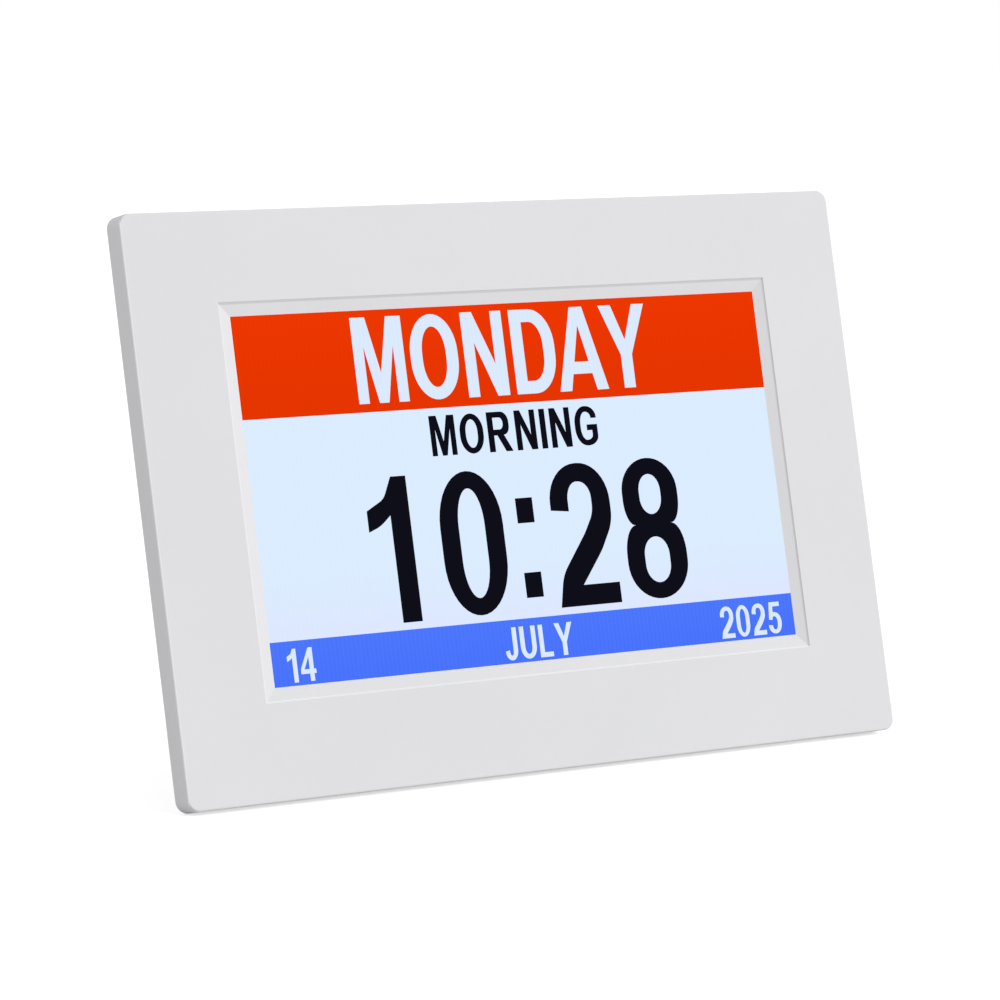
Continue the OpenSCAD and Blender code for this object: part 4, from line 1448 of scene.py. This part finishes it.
@dataclass
class FootStrip:
    """The leg's rubber foot with its grip ribs, which stands for the CAD's plain rod.

    Attributes:
        pin: Depth and height of the hinge pin on the panel, in millimetres.
        reach: Distance from the hinge to the foot's middle.
        opening: Angle between the open leg and the panel, in radians.
        length: Length of the strip.
        radius: Radius at the ribs' crests.
        ribs: How many ribs it has.
        groove: Radius of the grooves as a share of the crests'.
        smooth: Edges that turn by less than this are shaded smooth.
    """

    pin: Pair = (17.5, 94.0)
    reach: float = 90.4249
    opening: float = math.radians(28)
    length: float = 44.0
    radius: float = 2.4
    ribs: int = 22
    groove: float = 0.93
    smooth: float = math.radians(60)

    def build(self, wardrobe: Wardrobe) -> Object:
        """Builds and dresses the strip.

        Args:
            wardrobe: Where the finishes come from.

        Returns:
            The strip.
        """
        y = self.pin[0] + self.reach * math.sin(self.opening)
        z = self.pin[1] - self.reach * math.cos(self.opening)
        strip = drum((0, y, z), self.radius, self.length, 40, "X")
        strip.name = "foot_strip"
        # rings are cut along its length, and every second one sinks to make a groove
        pick(strip)
        bpy.ops.object.mode_set(mode="EDIT")
        step = self.length / (self.ribs * 2)
        for k in range(1, self.ribs * 2):
            bpy.ops.mesh.select_all(action="SELECT")
            cut = k * step - self.length / 2
            bpy.ops.mesh.bisect(plane_co=(cut * MM, y * MM, z * MM), plane_no=(1, 0, 0))
        bpy.ops.object.mode_set(mode="OBJECT")
        for vertex in strip.data.vertices:
            ring = round((vertex.co.x / MM + self.length / 2) / step)
            if ring % 2:
                vertex.co.y = y * MM + (vertex.co.y - y * MM) * self.groove
                vertex.co.z = z * MM + (vertex.co.z - z * MM) * self.groove
        face_outwards(strip)
        bpy.ops.object.shade_smooth_by_angle(angle=self.smooth)
        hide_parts("leg_foot")
        return PANEL.settle(strip, "leg", wardrobe.get("foot_rubber"))


@dataclass
class SpeakerScrim:
    """The cloth behind the loudspeaker's grille, held by the gasket.

    Attributes:
        centre: Its centre on the panel.
        radius: Its radius.
        depth: Depth of its rear face.
        thick: Its thickness.
        held: Width of the edge that the gasket holds.
        sunk: How far the rest lies below that edge.
    """

    centre: Pair = (-60.0, 50.0)
    radius: float = 12.8
    depth: float = 17.95
    thick: float = 0.2
    held: float = 1.2
    sunk: float = 0.05

    def build(self, wardrobe: Wardrobe) -> Object:
        """Builds and dresses the cloth.

        Args:
            wardrobe: Where the finishes come from.

        Returns:
            The cloth as one piece.
        """
        middle = (self.centre[0], self.depth - self.thick / 2, self.centre[1])
        cloth = drum(middle, self.radius, self.thick, 64)
        cloth.name = "speaker_scrim"
        select_faces(cloth, Vector((0, 1, 0)))
        bpy.ops.mesh.inset(thickness=self.held * MM, depth=-self.sunk * MM)
        bpy.ops.object.mode_set(mode="OBJECT")
        return PANEL.settle(cloth, "case", wardrobe.get(SCRIM))


@dataclass
class BoardParts:
    """The main board's many small parts: chip resistors and ceramic capacitors.

    Attributes:
        face: Depth of the board's rear face.
        rows: Blocks of parts, as (x, z, columns, rows).
        pitch: Distance from part to part, across and up.
        body: Half length, height and half width of a body.
        end: Height and half width of a tinned end.
        end_reach: Where an end starts and stops, from the part's middle.
        eased: Rounding of the edges.
    """

    face: float = 9.6
    rows: tuple[tuple[float, float, int, int], ...] = (
        (44.5, 62.5, 3, 2), (62.0, 48.0, 2, 3), (48.0, 24.5, 5, 2), (60.5, 58.5, 3, 1),
    )
    pitch: Pair = (2.6, 1.9)
    body: Triple = (0.6, 0.5, 0.4)
    end: Pair = (0.55, 0.43)
    end_reach: Pair = (0.55, 0.85)
    eased: float = 0.06

    def build(self, wardrobe: Wardrobe) -> list[Object]:
        """Builds and dresses the bodies and their tinned ends.

        Args:
            wardrobe: Where the finishes come from.

        Returns:
            The two pieces.
        """
        bodies, ends = [], []
        long, high, wide = self.body
        end_high, end_wide = self.end
        for x0, z0, columns, rows in self.rows:
            for i in range(columns * rows):
                x = x0 + (i % columns) * self.pitch[0]
                z = z0 + (i // columns) * self.pitch[1]
                depth = (self.face, self.face + high)
                bodies.append(cube((x - long, x + long), depth, (z - wide, z + wide)))
                depth = (self.face, self.face + end_high)
                for side in (-1, 1):
                    near, far = sorted(x + side * reach for reach in self.end_reach)
                    ends.append(cube((near, far), depth, (z - end_wide, z + end_wide)))
        sets = (("chip_parts", bodies, "chip_epoxy"), ("chip_part_ends", ends, "tinned_steel"))
        pieces = []
        for name, parts, slot in sets:
            piece = join(name, parts)
            apply_modifier(piece, "BEVEL", width=self.eased * MM, segments=2)
            pieces.append(PANEL.settle(piece, "case", wardrobe.get(slot)))
        return pieces


# ---- Studio ----


@dataclass
class Studio:
    """Floor, light and the camera at the photograph's place.

    Attributes:
        azimuth: The camera's angle round the clock, in degrees; negative is to its left.
        elevation: The camera's angle above the table, in degrees.
        offset: The panel's front centre seen from the camera: right, down and away, in millimetres.
        centre: Height of the panel's centre above its lower edge, in millimetres.
        lens: Focal length, in millimetres.
        sensor: Width of the sensor, in millimetres.
        clip: Nearest and farthest distance that the camera sees, in metres.
        ambient: Strength of the even light from all round.
        key: Strength of the lamp.
        key_from: The way from the clock to the lamp.
        key_width: How wide the lamp looks from the clock, in radians.
        table: Size of the table, in metres.
        table_grey: Share of the light that the table gives back.
        table_white: White that is added to it for the camera and for reflections.
    """

    azimuth: float = -36.04
    elevation: float = 6.163
    offset: Triple = (6.12, -3.83, 1142.1)
    centre: float = 68.3
    lens: float = 172.5
    sensor: float = 36.0
    clip: Pair = (0.01, 50.0)
    ambient: float = 0.62
    key: float = 1.67
    key_from: Triple = (0.805, -0.485, 0.341)
    key_width: float = math.radians(20)
    table: float = 12.0
    table_grey: float = 0.7
    table_white: float = 0.62

    def camera(self) -> None:
        """Places the camera and makes it the scene's."""
        a, e = math.radians(self.azimuth), math.radians(self.elevation)
        forward = Vector((-math.sin(a) * math.cos(e), math.cos(a) * math.cos(e), -math.sin(e)))
        right = Vector((math.cos(a), math.sin(a), 0))
        down = forward.cross(right)
        centre = PANEL.point(0, 0, self.centre)
        x, y, z = self.offset
        data = bpy.data.cameras.new("camera")
        data.lens, data.sensor_width = self.lens, self.sensor
        data.clip_start, data.clip_end = self.clip
        camera = bpy.data.objects.new("camera", data)
        camera.location = centre - (right * x + down * y + forward * z) * MM
        camera.rotation_euler = forward.to_track_quat("-Z", "Y").to_euler()
        bpy.context.scene.collection.objects.link(camera)
        bpy.context.scene.camera = camera

    def lamp(self) -> None:
        """Adds the wide, even daylight lamp, to the right of the clock and above it."""
        data = bpy.data.lights.new("key_daylight", "SUN")
        data.energy, data.angle = self.key, self.key_width
        lamp = bpy.data.objects.new("key_daylight", data)
        lamp.rotation_euler = (-Vector(self.key_from)).to_track_quat("-Z", "Y").to_euler()
        bpy.context.scene.collection.objects.link(lamp)

    def seen(self, tree: NodeTree) -> Socket | Node:
        """Finds the rays that see the white background.

        Args:
            tree: The world's or the table's tree.

        Returns:
            What holds 1 for camera, glossy and transmission rays, and 0 for others.
        """
        path = add_node(tree, "LightPath").outputs
        seen: Socket | Node = path["Is Camera Ray"]
        for name in ("Is Glossy Ray", "Is Transmission Ray"):
            seen = add_node(tree, "Math", {"operation": "MAXIMUM"}, seen, path[name])
        return seen

    def world(self) -> None:
        """Makes the even surrounding light, white where a camera or a reflection sees it."""
        world = bpy.data.worlds.new("studio")
        bpy.context.scene.world = world
        world.use_nodes = True
        tree = world.node_tree
        tree.nodes.clear()
        strength = add_node(tree, "MapRange", Value=self.seen(tree), To_Min=self.ambient, To_Max=1.0)
        light = add_node(tree, "Background", Color=(1, 1, 1, 1), Strength=strength)
        add_node(tree, "OutputWorld", Surface=light)

    def floor(self) -> Object:
        """Makes the plain pale table top, which keeps the clock's shadow.

        Returns:
            The floor.
        """
        deselect()
        bpy.ops.mesh.primitive_plane_add(size=self.table, location=(0, 0, 0))
        floor = bpy.context.object
        floor.name = "floor"
        material = bpy.data.materials.new("table_laminate_white")
        material.use_nodes = True
        tree = material.node_tree
        tree.nodes.clear()
        lit = add_node(tree, "BsdfDiffuse", Color=shade((1, 1, 1, 1), self.table_grey))
        lift = add_node(tree, "MapRange", Value=self.seen(tree), To_Min=0.0, To_Max=self.table_white)
        white = add_node(tree, "Emission", Color=(1, 1, 1, 1), Strength=lift)
        both = add_node(tree, "AddShader", None, lit, white)
        add_node(tree, "OutputMaterial", Surface=both)
        floor.data.materials.append(material)
        return floor

    def build(self) -> None:
        """Sets up the whole studio."""
        self.camera()
        self.world()
        self.floor()
        self.lamp()
        bpy.context.scene.view_settings.view_transform = "Standard"


def main() -> None:
    """Builds the clock's looks in order and reports each piece."""
    logging.basicConfig(level=logging.INFO, format="%(message)s")
    Studio().build()
    wardrobe = Wardrobe()
    log.info("dressed %d CAD nodes", wardrobe.dress_frame())
    pieces: list[Object] = []
    pieces += Readout().build(wardrobe)
    pieces += KeySigns().build(wardrobe)
    pieces += [screws.build(wardrobe) for screws in SCREWS]
    pieces += PowerInlet().build(wardrobe)
    pieces.append(FootStrip().build(wardrobe))
    pieces.append(SpeakerScrim().build(wardrobe))
    pieces += BoardParts().build(wardrobe)
    for piece in pieces:
        log.info("%s: %d faces", piece.name, len(piece.data.polygons))


if __name__ == "__main__":
    main()
